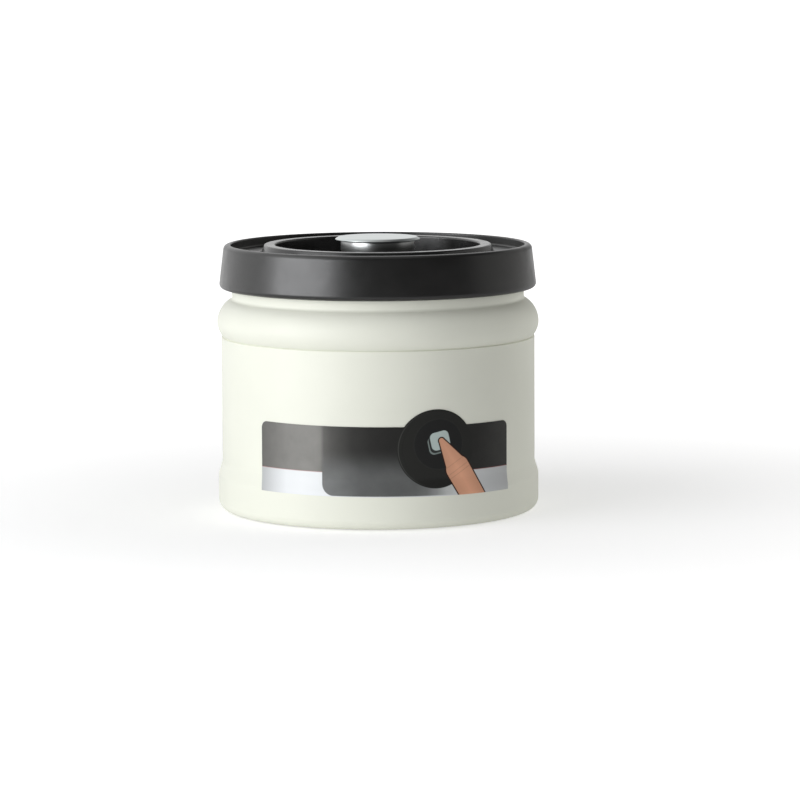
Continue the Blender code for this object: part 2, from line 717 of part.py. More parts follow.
def build_levers(finish):
    """Four rocking levers, each with its origin on its pin's axis."""
    for index, angle in enumerate(spaced(LEVER_COUNT), start=1):
        bm = bmesh.new()
        inner_tip = (-LEVER_INNER, 0.0)
        outer_tip = (LEVER_OUTER, 0.0)
        points = circle_points(inner_tip, LEVER_TIP, PIN_SEGMENTS)
        points += circle_points(outer_tip, LEVER_TIP, PIN_SEGMENTS)
        points += circle_points((0.0, 0.0), LEVER_EYE, PIN_SEGMENTS)
        for side in (-LEVER_HALF_WIDTH, LEVER_HALF_WIDTH):
            for along, up in points:
                bm.verts.new((along, side, up))
        bmesh.ops.convex_hull(bm, input=bm.verts)
        loose = [vert for vert in bm.verts if not vert.link_faces]
        bmesh.ops.delete(bm, geom=loose, context="VERTS")
        bmesh.ops.recalc_face_normals(bm, faces=bm.faces)
        lever = make_object(f"lever_{index}", bm, finish)
        rest = around(angle, PIVOT_RADIUS, PIVOT_Z) @ Matrix.Rotation(LEVER_TILT, 4, "Y")
        lever.matrix_world = rest
        eye = bmesh.new()
        reach = LEVER_HALF_WIDTH + SINK
        add_rod(eye, LEVER_PIN + FIT, -reach, reach, PIN_SEGMENTS, sideways(rest))
        combine(lever, "DIFFERENCE", f"lever_{index}_eye", eye)


def build_hooks(finish):
    """Two latch hooks, open at rest, each with its origin on its pin's axis."""
    profile = [
        (LATCH_ARM, LATCH_EYE * 0.6),
        (LATCH_ARM * 0.4, LATCH_EYE),
        (-LATCH_ARM * 0.4, LATCH_EYE),
        (-LATCH_EYE, LATCH_EYE * 0.4),
        (-LATCH_EYE, -LATCH_EYE),
        (-LATCH_ARM, -NOSE_DROP + LATCH_NOSE + LATCH_ARM),
        (-NOSE_REACH + LATCH_BITE, -NOSE_DROP + LATCH_NOSE),
        (-NOSE_REACH, -NOSE_DROP + LATCH_NOSE * 0.4),
        (-NOSE_REACH, -NOSE_DROP),
        (LATCH_ARM, -NOSE_DROP),
        (LATCH_EYE, -LATCH_EYE),
        (LATCH_EYE, LATCH_EYE * 0.4),
    ]
    for index, angle in enumerate(spaced(LATCH_COUNT, LATCH_TURN), start=1):
        bm = bmesh.new()
        add_prism(bm, profile, LATCH_HALF_WIDTH, Matrix.Identity(4))
        hook = make_object(f"latch_hook_{index}", bm, finish)
        rest = around(angle, LATCH_RADIUS, LATCH_Z) @ Matrix.Rotation(-LATCH_SWING, 4, "Y")
        hook.matrix_world = rest
        eye = bmesh.new()
        reach = LATCH_HALF_WIDTH + SINK
        add_rod(eye, LATCH_PIN + FIT, -reach, reach, PIN_SEGMENTS, sideways(rest))
        combine(hook, "DIFFERENCE", f"latch_hook_{index}_eye", eye)


def build_pins(finish):
    """A pin across each lever and each latch hook."""
    reach = LEVER_HALF_WIDTH + FIT + CHEEK_THICKNESS
    for index, angle in enumerate(spaced(LEVER_COUNT), start=1):
        placing = sideways(around(angle, PIVOT_RADIUS, PIVOT_Z))
        build_pin(f"lever_pin_{index}", LEVER_PIN, reach, placing, finish)
    reach = LATCH_HALF_WIDTH + FIT + LATCH_CHEEK
    for index, angle in enumerate(spaced(LATCH_COUNT, LATCH_TURN), start=1):
        placing = sideways(around(angle, LATCH_RADIUS, LATCH_Z))
        build_pin(f"latch_pin_{index}", LATCH_PIN, reach, placing, finish)


def build_pin(name, radius, reach, placing, finish):
    """One plain pin along the local Z of its placing."""
    bm = bmesh.new()
    add_rod(bm, radius, -reach, reach, PIN_SEGMENTS, Matrix.Identity(4))
    pin = make_object(name, bm, finish)
    pin.matrix_world = placing


def screw_outline(head_under, head_top, tip):
    """A screw standing on its head, with a drive socket in the head's face."""
    return [
        (0.0, head_under + SCREW_SOCKET),
        (SCREW_RADIUS * 0.8, head_under + SCREW_SOCKET),
        (SCREW_RADIUS * 0.8, head_under),
        (SCREW_HEAD_RADIUS, head_under),
        (SCREW_HEAD_RADIUS, head_top),
        (SCREW_RADIUS, head_top),
        (SCREW_RADIUS, tip),
        (0.0, tip),
    ]


def build_screws(finish):
    """Four screws that hold the plug body to the bowl, and the one inside the button."""
    outline = screw_outline(SCREW_HEAD_TOP - SCREW_HEAD, SCREW_HEAD_TOP, SCREW_TIP)
    for index, angle in enumerate(spaced(SCREW_COUNT, SCREW_TURN), start=1):
        screw = turned(f"body_screw_{index}", outline, finish, PIN_SEGMENTS)
        screw.matrix_world = around(angle, SCREW_CIRCLE)
    head_top = CEILING_Z - FIT
    tip = CAP_TOP - CAP_EDGE - FIT
    cap_screw = screw_outline(head_top - SCREW_HEAD, head_top, tip)
    turned("cap_screw", cap_screw, finish, PIN_SEGMENTS)


def build_button(cap_finish, stem_finish, core_finish):
    """Button: satin cap, polished stem sleeve and the plastic core that both stand on."""
    socket = SCREW_RADIUS + FIT
    cap = [
        (0.0, CAP_TOP),
        (CAP_RADIUS - CAP_BEVEL, CAP_TOP),
        (CAP_RADIUS, CAP_TOP - CAP_BEVEL),
        (CAP_RADIUS, CAP_TOP - CAP_EDGE),
        (STEM_RADIUS, CAP_UNDER),
        (socket, CAP_UNDER),
        (socket, CAP_TOP - CAP_EDGE),
        (0.0, CAP_TOP - CAP_EDGE),
    ]
    turned("button_cap", cap, cap_finish, SMALL_SEGMENTS)
    inner = STEM_RADIUS - STEM_WALL
    stem = [
        (STEM_RADIUS, FLANGE_TOP + FIT),
        (STEM_RADIUS, CAP_UNDER - FIT),
        (inner, CAP_UNDER - FIT),
        (inner, FLANGE_TOP + FIT),
    ]
    turned("button_stem", stem, stem_finish, SMALL_SEGMENTS)
    core = [
        (CORE_BORE, FLANGE_UNDER),
        (FLANGE_RADIUS - FLANGE_CHAMFER, FLANGE_UNDER),
        (FLANGE_RADIUS, FLANGE_UNDER + FLANGE_CHAMFER),
        (FLANGE_RADIUS, FLANGE_TOP),
        (CORE_RADIUS, FLANGE_TOP),
        (CORE_RADIUS, CORE_TOP),
        (socket, CORE_TOP),
        (socket, CEILING_Z),
        (CORE_BORE, CEILING_Z),
    ]
    turned("button_core", core, core_finish, SMALL_SEGMENTS)


def build_wiper(finish):
    """Soft ring on the well's floor that wipes the stem."""
    inner = STEM_RADIUS + FIT
    outer = inner + WIPER_WIDTH
    under = WELL_FLOOR_TOP + FIT
    top = under + WIPER_HEIGHT
    outline = [(inner, under), (outer, under), (outer - WIPER_HEIGHT / 2, top), (inner, top)]
    turned("stem_wiper", outline, finish, SMALL_SEGMENTS)


def spring_points():
    """Centre line of the return spring, from the plug's floor to the core's ceiling."""
    radius = CORE_BORE - SLIDE_FIT - WIRE_RADIUS
    start = PLUG_FLOOR_TOP + FIT + WIRE_RADIUS
    end = CEILING_Z - FIT - WIRE_RADIUS
    count = SPRING_CURLS * CURL_POINTS
    points = []
    for index in range(count + 1):
        angle = 2 * math.pi * index / CURL_POINTS
        height = start + (end - start) * index / count
        points.append(Vector((radius * math.cos(angle), radius * math.sin(angle), height)))
    return points


def least_gap(points):
    """Smallest distance between the spring's own turns, less the wire."""
    gaps = []
    for first, here in enumerate(points):
        for there in points[first + CURL_POINTS // 2 :]:
            gaps.append((here - there).length)
    return min(gaps) - 2 * WIRE_RADIUS


def build_spring(finish):
    """Return spring: one open coil round the plug's post, inside the core."""
    points = spring_points()
    print(f"least gap between the spring's turns: {least_gap(points) / MM:.2f} mm")
    curve = bpy.data.curves.new("return_spring", "CURVE")
    curve.dimensions = "3D"
    curve.bevel_depth = WIRE_RADIUS
    curve.bevel_resolution = 1
    curve.use_fill_caps = True
    spline = curve.splines.new("POLY")
    spline.points.add(len(points) - 1)
    for slot, point in zip(spline.points, points):
        slot.co = (*point, 1.0)
    curve.materials.append(finish)
    spring = bpy.data.objects.new("return_spring", curve)
    bpy.context.collection.objects.link(spring)


def main():
    clear_scene()
    cream = material("cream_paint", (0.83, 0.83, 0.77), 0.35)
    liner_steel = material("liner_steel", (0.62, 0.62, 0.61), 0.32, 1.0)
    base_steel = material("base_steel", (0.55, 0.55, 0.54), 0.38, 1.0)
    black = material("cover_plastic", (0.035, 0.034, 0.033), 0.5)
    bowl_black = material("bowl_plastic", (0.03, 0.03, 0.03), 0.42)
    inner_white = material("plug_plastic", (0.72, 0.72, 0.7), 0.5)
    lever_grey = material("lever_plastic", (0.35, 0.36, 0.37), 0.5)
    core_black = material("core_plastic", (0.05, 0.05, 0.05), 0.5)
    silicone = material("gasket_silicone", (0.78, 0.79, 0.78), 0.6)
    rubber = material("pad_rubber", (0.06, 0.06, 0.06), 0.8)
    label_print = material("label_print", (0.2, 0.2, 0.2), 0.45)
    satin = material("cap_steel", (0.66, 0.7, 0.7), 0.25, 1.0)
    polished = material("stem_chrome", (0.75, 0.76, 0.76), 0.08, 1.0)
    pin_steel = material("pin_steel", (0.5, 0.5, 0.5), 0.3, 1.0)

    build_shell(cream)
    build_liner(liner_steel)
    build_base(base_steel, rubber)
    build_label(label_print)
    build_cover(black)
    build_bowl(bowl_black)
    build_wiper(rubber)
    build_plug(inner_white)
    build_gasket(silicone)
    build_plate(inner_white)
    build_levers(lever_grey)
    build_hooks(lever_grey)
    build_pins(pin_steel)
    build_screws(pin_steel)
    build_button(satin, polished, core_black)
    build_spring(pin_steel)


main()
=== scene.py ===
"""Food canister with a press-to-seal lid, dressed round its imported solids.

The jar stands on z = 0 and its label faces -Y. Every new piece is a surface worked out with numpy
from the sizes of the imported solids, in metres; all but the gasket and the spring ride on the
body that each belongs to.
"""

import math
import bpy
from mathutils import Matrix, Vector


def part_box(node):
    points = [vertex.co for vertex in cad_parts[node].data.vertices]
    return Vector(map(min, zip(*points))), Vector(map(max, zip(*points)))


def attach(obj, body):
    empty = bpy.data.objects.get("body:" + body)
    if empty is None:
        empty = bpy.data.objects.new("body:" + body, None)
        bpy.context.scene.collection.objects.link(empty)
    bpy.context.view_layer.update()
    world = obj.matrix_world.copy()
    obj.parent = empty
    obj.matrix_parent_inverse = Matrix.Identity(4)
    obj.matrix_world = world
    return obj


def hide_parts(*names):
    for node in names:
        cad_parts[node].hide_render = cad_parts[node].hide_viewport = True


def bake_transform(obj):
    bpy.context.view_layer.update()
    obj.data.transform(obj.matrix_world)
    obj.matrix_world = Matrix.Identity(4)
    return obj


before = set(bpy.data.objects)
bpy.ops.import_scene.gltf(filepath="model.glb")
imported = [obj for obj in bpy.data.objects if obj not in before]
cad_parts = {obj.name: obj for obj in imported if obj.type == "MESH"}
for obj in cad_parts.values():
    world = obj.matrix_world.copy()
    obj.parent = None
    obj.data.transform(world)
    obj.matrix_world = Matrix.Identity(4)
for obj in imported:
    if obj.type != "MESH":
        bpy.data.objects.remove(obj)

from types import SimpleNamespace

import bpy
import numpy as np
from bpy.props import FloatProperty, FloatVectorProperty, IntProperty, PointerProperty
from mathutils import Matrix, Vector

bl_info = {
    "name": "Push-button food canister",
    "version": (1, 0, 0),
    "blender": (4, 5, 0),
    "location": "View3D > Sidebar > Canister",
    "description": "Builds the pieces of a painted food canister and its press-to-seal lid",
    "category": "Add Mesh",
}

MM = 0.001
TINY = 1e-9

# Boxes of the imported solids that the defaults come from
SHELL_LOW, SHELL_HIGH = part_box("outer_shell")
LINER_LOW, LINER_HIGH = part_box("inner_liner")
COVER_LOW, COVER_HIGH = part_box("lid_cover")
BOWL_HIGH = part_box("well_bowl")[1]
CAP_LOW, CAP_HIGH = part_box("button_cap")
STEM_LOW, STEM_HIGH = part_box("button_stem")
WIPER_LOW, WIPER_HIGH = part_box("stem_wiper")
PLUG_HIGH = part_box("plug_body")[1]
GASKET_LOW, GASKET_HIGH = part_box("gasket")
PLATE_LOW, PLATE_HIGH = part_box("seal_plate")
SPRING_LOW, SPRING_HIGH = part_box("return_spring")
BASE_LOW, BASE_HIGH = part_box("base_plate")
PAD_LOW, PAD_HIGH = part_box("foot_pad")

# Roundness and steps of new surfaces
SHARP_ANGLE = math.radians(34)
ARC_STEP = math.radians(7)
BULGE_STEPS = 40
INSIDE_STEPS = 24
SLEEVE_STEPS = 24
LABEL_COLUMNS = 320
LABEL_ROWS = 49
CORNER_POINTS = 9
TURN_STEPS = 40
WIRE_SIDES = 12

# Studio: fill of the room at left and right, an even floor glow that only diffuse rays see,
# standing in for bounced light off the floor, the room's front half in gloss, and the directions
# in which fill and gloss grow
FILL = 0.13
SIDE_FILL = 0.36
FLOOR_FILL = 0.2
FRONT_GLOW = 0.05
FILL_SIDE = (0.94, 0.34, 0.0)
GLOW_SIDE = (-0.85, 0.53, 0.0)
WHITE = (1.0, 1.0, 1.0)

# Soft lamps: name, azimuth, elevation, distance, sides, watts, tint, and if gloss shows them
LAMPS = (
    ("key_lamp", -56.0, 10.0, 1.3, (1.15, 0.74), 12.1, (0.97, 0.98, 1.0), True),
    ("high_lamp", -68.0, 40.0, 1.3, (1.0, 0.8), 2.6, (0.98, 0.985, 1.0), True),
    ("edge_lamp", 112.0, 10.0, 1.3, (2.0, 1.4), 3.2, (1.0, 0.99, 0.96), True),
    ("front_lamp", -22.0, 6.0, 1.3, (0.8, 0.25), 3.0, (0.98, 0.985, 1.0), False),
    ("side_lamp", 125.0, 8.0, 1.3, (0.8, 0.5), 4.0, (1.0, 0.99, 0.96), False),
    ("top_lamp", 10.0, 80.0, 1.0, (0.7, 0.7), 0.5, WHITE, True),
)
LAMP_AIM = Vector((0.0, 0.0, 50.0 * MM))

# Camera, fitted to the edges in the photograph
LENS = 165.35
ELEVATION = math.radians(6.708)
ROLL = math.radians(-0.23)
DISTANCE = 1.433
MIDDLE = Vector((0.0, 0.0, 52.0 * MM))
AIM_SHIFT = Vector((8.45 * MM, 0.0, -9.8 * MM))

# Fixed small sizes
SHELL_WALL = 0.8 * MM
LINER_WALL = 0.7 * MM
STEM_WALL = 1.0 * MM
NECK_GAP = 1.0 * MM
WALL_GAP = 2.4 * MM
LIP_HEIGHT = 1.0 * MM
LIP_REACH = 0.4 * MM
PAD_WIDTH = 13.0 * MM
GASKET_WIDTH = 6.8 * MM
FILM_OUTSIDE = 0.26 * MM
FILM_INSIDE = 0.03 * MM
FIT = 0.3 * MM
SLIDE_FIT = 0.4 * MM

# Steel of the pins, the screws and the spring
PIN_STEEL = (0.5, 0.5, 0.49)
PIN_ROUGH = 0.28


def number(name, description, default, **more):
    """A number that a user may change."""
    return FloatProperty(name=name, description=description, default=default, **more)


def length(name, description, millimetres):
    """A size that a user may change, kept in metres."""
    return number(
        name, description, millimetres * MM, min=0.0, unit="LENGTH", subtype="DISTANCE",
        precision=5,
    )


def colour(name, description, default):
    """A linear colour that a user may change."""
    return FloatVectorProperty(
        name=name, description=description, default=default, size=3, min=0.0, max=1.0,
        subtype="COLOR",
    )


class CanisterSizes(bpy.types.PropertyGroup):
    """Sizes of the canister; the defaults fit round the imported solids."""

    jar_diameter: length("Jar diameter", "Across the bulge", (SHELL_HIGH.x - SHELL_LOW.x) / MM)
    jar_height: length("Jar height", "Table to the top of the liner's lip", LINER_HIGH.z / MM)
    neck_inset: length("Neck inset", "Bulge to neck, on the radius", 5.7)
    bulge_drop: length("Bulge drop", "Jar top to the middle of the bulge", 23.9)
    bulge_section: length("Bulge section", "Radius of the bulge's arc", 10.0)
    bulge_under: number("Bulge under", "Height of the bulge's lower half over a round one's", 0.88)
    neck_fillet: length("Neck fillet", "Rounding between neck and bulge", 1.3)
    wall_inset: length("Wall inset", "Bulge to straight wall, on the radius", 1.55)
    crease_depth: length("Crease depth", "Step of the crease under the bulge", 0.75)
    foot_inset: length("Foot inset", "Bulge to foot, on the radius", 0.05)
    flare_top: length("Flare top", "Height where the foot starts to widen", 19.0)
    flare_drop: length("Flare drop", "Height over which the foot widens", 4.6)
    foot_corner: length("Foot corner", "Rounding of the foot's lower edge", 4.0)
    foot_opening: length("Foot opening", "Radius of the hole in the turned-in rim", 52.0)
    label_width: length("Label width", "Along the wall", 106.5)
    label_height: length("Label height", "Without the part over the disc", 26.3)
    label_bottom: length("Label bottom", "Height of the lower edge", 13.2)
    label_corner: length("Label corner", "Rounding of the upper corners", 2.6)
    label_trim: length("Label trim", "Cut off the right end", 1.1)
    label_turn: number(
        "Label turn", "Middle of the label, round from the front", math.radians(3.8),
        subtype="ANGLE",
    )
    label_tilt: number(
        "Label tilt", "How far the film was stuck on askew, clockwise", math.radians(0.4),
        subtype="ANGLE",
    )
    disc_radius: length("Disc radius", "Round motif of the label", 14.9)
    disc_stretch: number("Disc stretch", "Width of the round motif over its height", 1.035)
    disc_offset: length("Disc offset", "Round motif, right of the label's middle", 18.2)
    disc_rise: length("Disc rise", "Round motif, above the label's lower edge", 17.75)
    rim_width: length("Rim width", "Raised rim of the cover", 2.7)
    rim_rise: length("Rim rise", "Rim above the cover's groove", 3.6)
    skirt_draft: length("Skirt draft", "How far the skirt leans in", 2.0)
    skirt_wall: length("Skirt wall", "Thickness of the skirt", 2.5)
    groove_width: length("Groove width", "Between rim and inner ring", 12.5)
    ring_width: length("Ring width", "Raised ring round the well", 4.7)
    well_depth: length("Well depth", "Ring's top to the well's floor", 11.0)
    cap_edge: length("Cap edge", "Height of the cap's bevel", 0.8)
    cap_bevel: length("Cap bevel", "Width of the cap's bevel", 1.2)
    stem_swell: length("Stem swell", "Radius of the stem's bulge in height", 16.5)
    spring_curls: IntProperty(
        name="Spring curls", description="Turns of the return spring", default=6, min=2, max=20
    )
    segments: IntProperty(
        name="Segments", description="Faces round each turned piece", default=192, min=48, max=384
    )


class CanisterColours(bpy.types.PropertyGroup):
    """Colours of the canister's finishes."""

    paint: colour("Paint", "Enamel of the jar", (0.805, 0.815, 0.72))
    cover: colour("Cover plastic", "Lid cover", (0.009, 0.0089, 0.0086))
    bowl: colour("Bowl plastic", "Ring and well", (0.009, 0.0089, 0.0087))
    steel: colour("Bare steel", "Liner and underside", (0.6, 0.6, 0.585))
    cap: colour("Cap", "Satin button cap", (0.68, 0.72, 0.715))
    chrome: colour("Stem", "Polished stem", (0.6, 0.615, 0.61))
    rubber: colour("Rubber", "Foot pad and wiper", (0.02, 0.02, 0.02))
    silicone: colour("Silicone", "Gasket", (0.72, 0.735, 0.72))
    inner: colour("Inner plastic", "Plug body and seal plate", (0.66, 0.66, 0.63))
    lever: colour("Lever plastic", "Levers and hooks", (0.2, 0.21, 0.22))
    core: colour("Core plastic", "Inside the button", (0.03, 0.03, 0.03))
    label_grey: colour("Label grey", "Upper band of the label", (0.25, 0.245, 0.23))
    label_silver: colour("Label silver", "Lower band of the label", (0.8, 0.82, 0.83))
    label_line: colour("Label line", "Thin line across the label", (0.42, 0.07, 0.07))
    label_tile: colour("Label tile", "Pale tile in the round motif", (0.46, 0.54, 0.52))
    label_pointer: colour("Label pointer", "Pointer to the tile", (0.8, 0.41, 0.26))


def sizes():
    return bpy.context.scene.canister_sizes


def colours():
    return bpy.context.scene.canister_colours


# Shapes


def fillet(back, here, ahead, radius):
    """Arc that touches both sides of a corner.

    Its centre is on the bisector, radius / sin(half the corner's angle) from the corner.
    """
    one = (back - here) / np.linalg.norm(back - here)
    two = (ahead - here) / np.linalg.norm(ahead - here)
    half = math.acos(float(np.clip(one @ two, -1.0, 1.0))) / 2
    bisector = (one + two) / np.linalg.norm(one + two)
    centre = here + bisector * radius / math.sin(half)
    first = here + one * radius / math.tan(half) - centre
    last = here + two * radius / math.tan(half) - centre
    start = math.atan2(first[1], first[0])
    turn = (math.atan2(last[1], last[0]) - start + math.pi) % (2 * math.pi) - math.pi
    return arc(centre, radius, start, start + turn, max(3, math.ceil(abs(turn) / ARC_STEP)))


def outline(*corners):
    """Closed outline (r, z) through corners (r, z) or (r, z, fillet radius)."""
    points = [np.array(corner[:2], float) for corner in corners]
    runs = []
    for index, corner in enumerate(corners):
        if len(corner) == 2:
            runs.append(points[index][None])
        else:
            ahead = points[(index + 1) % len(points)]
            runs.append(fillet(points[index - 1], points[index], ahead, corner[2]))
    return np.concatenate(runs)


def arc(centre, radius, start, end, steps):
    """Points centre + radius (cos a, sin a) for a from start to end."""
    angles = np.linspace(start, end, steps + 1)
    return np.array(centre) + radius * np.stack((np.cos(angles), np.sin(angles)), axis=1)


def revolve(profile, segments):
    """Surface (r cos a, r sin a, z) for each point (r, z) of a profile and each angle a.

    A point on the axis is one vertex. A profile that touches the axis is closed by it, and any
    other is closed by its own last side. Going anticlockwise in (r, z) turns the faces outwards.
    """
    ahead = np.roll(profile, -1, axis=0)
    if (profile[:, 0] * ahead[:, 1] - ahead[:, 0] * profile[:, 1]).sum() < 0:
        profile = profile[::-1]
    angles = 2 * np.pi * np.arange(segments) / segments
    radii, heights = profile[:, :1], profile[:, 1:]
    grid = np.stack(
        (radii * np.cos(angles), radii * np.sin(angles), heights + 0 * angles), axis=2
    )
    on_axis = profile[:, 0] < TINY
    vertices, index = ring_rows(grid, on_axis)
    return vertices, strip_faces(index, wrap=not on_axis.any())


def ring_rows(grid, poles):
    """Vertices of a stack of rings and a table of their numbers; a pole is a single vertex."""
    segments = grid.shape[1]
    counts = np.where(poles, 1, segments)
    first = np.cumsum(counts) - counts
    columns = np.arange(segments + 1) % segments
    index = first[:, None] + np.where(poles[:, None], 0, columns[None])
    keep = ~poles[:, None] | (np.arange(segments)[None] == 0)
    return grid[keep], index


def strip_faces(index, wrap=False):
    """Faces between the rows of a table of vertex numbers; a face on a pole has 3 corners."""
    below = index if wrap else index[:-1]
    above = np.roll(index, -1, axis=0) if wrap else index[1:]
    corners = np.stack((below[:, :-1], below[:, 1:], above[:, 1:], above[:, :-1]), axis=2)
    corners = corners.reshape(-1, 4)
    flat_below = corners[:, 0] == corners[:, 1]
    flat_above = corners[:, 2] == corners[:, 3]
    quads = corners[~flat_below & ~flat_above]
    from_pole = corners[flat_below & ~flat_above][:, [0, 2, 3]]
    to_pole = corners[flat_above & ~flat_below][:, [0, 1, 2]]
    return quads.tolist() + from_pole.tolist() + to_pole.tolist()


def added(name, data):
    """A new object in the scene."""
    made = bpy.data.objects.new(name, data)
    bpy.context.scene.collection.objects.link(made)
    return made


def piece(name, body, finish, vertices, faces, nodes=(), uvs=None):
    """A smooth object that stands for the named nodes; it rides on a body if one is given."""
    mesh = bpy.data.meshes.new(name)
    mesh.from_pydata(np.asarray(vertices).tolist(), [], faces)
    mesh.update()
    mesh.shade_smooth()
    mesh.set_sharp_from_angle(angle=SHARP_ANGLE)
    if uvs is not None:
        corner_vertices = np.empty(len(mesh.loops), np.int32)
        mesh.loops.foreach_get("vertex_index", corner_vertices)
        layer = mesh.uv_layers.new(name="Surface")
        layer.data.foreach_set("uv", np.asarray(uvs, np.float32)[corner_vertices].ravel())
    mesh.materials.append(finish)
    made = added(name, mesh)
    if body:
        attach(made, body)
    if nodes:
        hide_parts(*nodes)
    return made


def turned(name, body, finish, profile, nodes=()):
    """A turned piece from its outline."""
    vertices, faces = revolve(profile, sizes().segments)
    return piece(name, body, finish, vertices, faces, nodes)


def jar_levels():
    """Radii and heights of the jar that several pieces share."""
    s = sizes()
    bulge = s.jar_diameter / 2
    return SimpleNamespace(
        neck=bulge - s.neck_inset,
        wall=bulge - s.wall_inset,
        foot=bulge - s.foot_inset,
        bulge_z=s.jar_height - s.bulge_drop,
        centre=bulge - s.bulge_section,
        top=SHELL_HIGH.z,
        lift=SHELL_LOW.z,
    )


def bulge_arc(radius_from, radius_to, section, steps):
    """Arc of the bulge between two radii, from above its middle to below, where it is flatter."""
    s = sizes()
    jar = jar_levels()
    upper = math.acos((radius_from - jar.centre) / section)
    lower = -math.acos((radius_to - jar.centre) / section)
    points = arc((jar.centre, jar.bulge_z), section, upper, lower, steps)
    under = np.where(points[:, 1] < jar.bulge_z, s.bulge_under, 1.0)
    points[:, 1] = jar.bulge_z + (points[:, 1] - jar.bulge_z) * under
    return points


def shell_outside():
    """Outer side of the shell, corners from its neck down to its foot."""
    s = sizes()
    jar = jar_levels()
    bulge = bulge_arc(jar.neck, jar.wall - s.crease_depth, s.bulge_section, BULGE_STEPS)
    crease_z = bulge[-1][1]
    flare_fillet = 4.0 * MM
    return [
        (jar.neck, jar.top),
        (*bulge[0], s.neck_fillet),
        *map(tuple, bulge[1:]),
        (jar.wall - 0.1 * MM, crease_z - 0.15 * MM),
        (jar.wall, crease_z - 0.6 * MM),
        (jar.wall, s.flare_top, flare_fillet),
        (jar.foot, s.flare_top - s.flare_drop, flare_fillet),
        (jar.foot, jar.lift, s.foot_corner),
    ]


def shell_profile():
    """Whole outline of the shell: outside down, in under the foot, and inside up."""
    s = sizes()
    jar = jar_levels()
    neck = jar.neck - SHELL_WALL
    wall = jar.wall - SHELL_WALL
    foot = jar.foot - SHELL_WALL
    section = s.bulge_section - SHELL_WALL
    inside = bulge_arc(neck, wall - s.crease_depth, section, INSIDE_STEPS)[::-1]
    rolled = 0.35 * MM
    return outline(
        *shell_outside(),
        (s.foot_opening, jar.lift, rolled),
        (s.foot_opening, jar.lift + SHELL_WALL, rolled),
        (foot, jar.lift + SHELL_WALL, s.foot_corner - SHELL_WALL),
        (foot, s.flare_top - s.flare_drop),
        (wall, s.flare_top),
        (wall, inside[0][1] - 2 * SHELL_WALL),
        *map(tuple, inside),
        (neck, jar.top),
    )


def wall_radius(heights):
    """Outer radius of the shell at each height between its foot and its bulge."""
    jar = jar_levels()
    side = outline(*shell_outside(), (sizes().foot_opening, jar.lift))
    side = side[side[:, 1] > jar.lift + TINY]
    order = np.argsort(side[:, 1])
    return np.interp(heights, side[order, 1], side[order, 0])


# Materials


def node(tree, kind, inputs=None, **settings):
    """A new shader node; inputs maps a socket's name or number to a value or a socket."""
    made = tree.nodes.new(kind)
    for key, value in settings.items():
        setattr(made, key, value)
    for key, value in (inputs or {}).items():
        if isinstance(value, bpy.types.NodeSocket):
            tree.links.new(value, made.inputs[key])
        else:
            made.inputs[key].default_value = value
    return made


def maths(tree, operation, *values, clamp=False):
    made = node(tree, "ShaderNodeMath", dict(enumerate(values)), operation=operation)
    made.use_clamp = clamp
    return made.outputs[0]


def times(tree, one, other):
    return maths(tree, "MULTIPLY", one, other)


def less(tree, one, other):
    return maths(tree, "SUBTRACT", one, other)


def vectors(tree, operation, *values):
    inputs = dict(enumerate(values))
    if operation == "SCALE":
        inputs = {0: values[0], "Scale": values[1]}
    made = node(tree, "ShaderNodeVectorMath", inputs, operation=operation)
    single = operation in {"LENGTH", "DOT_PRODUCT", "DISTANCE"}
    return made.outputs["Value" if single else "Vector"]


def mixed(tree, share, under, over):
    """Colour between under and over by share; the node's colour sockets are 6, 7 and 2."""
    colours_in = {6: rgba(under), 7: rgba(over), 0: share}
    made = node(tree, "ShaderNodeMix", colours_in, data_type="RGBA")
    return made.outputs[2]


def rgba(value):
    """A colour with its alpha; a socket passes through."""
    if isinstance(value, bpy.types.NodeSocket):
        return value
    return (*tuple(value)[:3], 1.0)


def ramp(tree, value, low, high, to_low=0.0, to_high=1.0, kind="LINEAR"):
    """A value carried from one range to another and held at its ends."""
    ends = {"From Min": low, "From Max": high, "To Min": to_low, "To Max": to_high}
    made = node(tree, "ShaderNodeMapRange", {"Value": value, **ends}, interpolation_type=kind)
    return made.outputs["Result"]


def grain(tree, where, scale, detail=2.0, roughness=0.5):
    """Noise from 0 to 1 at a place."""
    inputs = {"Vector": where, "Scale": scale, "Detail": detail, "Roughness": roughness}
    return node(tree, "ShaderNodeTexNoise", inputs).outputs["Fac"]


def spread(tree, noise, low=0.0, high=1.0):
    """The middle of a noise's range, where it mostly keeps, carried from low to high."""
    return ramp(tree, noise, 0.3, 0.7, low, high)


def scaled(tint, level, lift=0.0):
    """A colour made darker or paler."""
    return [min(1.0, channel * level + lift) for channel in tint]


def place(tree):
    """The point on the object, in metres."""
    return node(tree, "ShaderNodeTexCoord").outputs["Object"]


def fresh(name, **constants):
    """A Principled material and its tree; each constant goes to the shader's own socket."""
    made = bpy.data.materials.new(name)
    made.use_nodes = True
    tree = made.node_tree
    for key, value in constants.items():
        tree.nodes["Principled BSDF"].inputs[key.replace("_", " ")].default_value = value
    return made, tree


def dressed(made, tone, rough, relief, depth):
    """Join a material's colour, its roughness and a fine relief, whose depth is in mm."""
    tree = made.node_tree
    shader = tree.nodes["Principled BSDF"]
    tree.links.new(tone, shader.inputs["Base Color"])
    tree.links.new(rough, shader.inputs["Roughness"])
    if depth:
        inputs = {"Height": relief, "Distance": depth * MM, "Strength": 1.0}
        normal = node(tree, "ShaderNodeBump", inputs).outputs["Normal"]
        tree.links.new(normal, shader.inputs["Normal"])
    return made


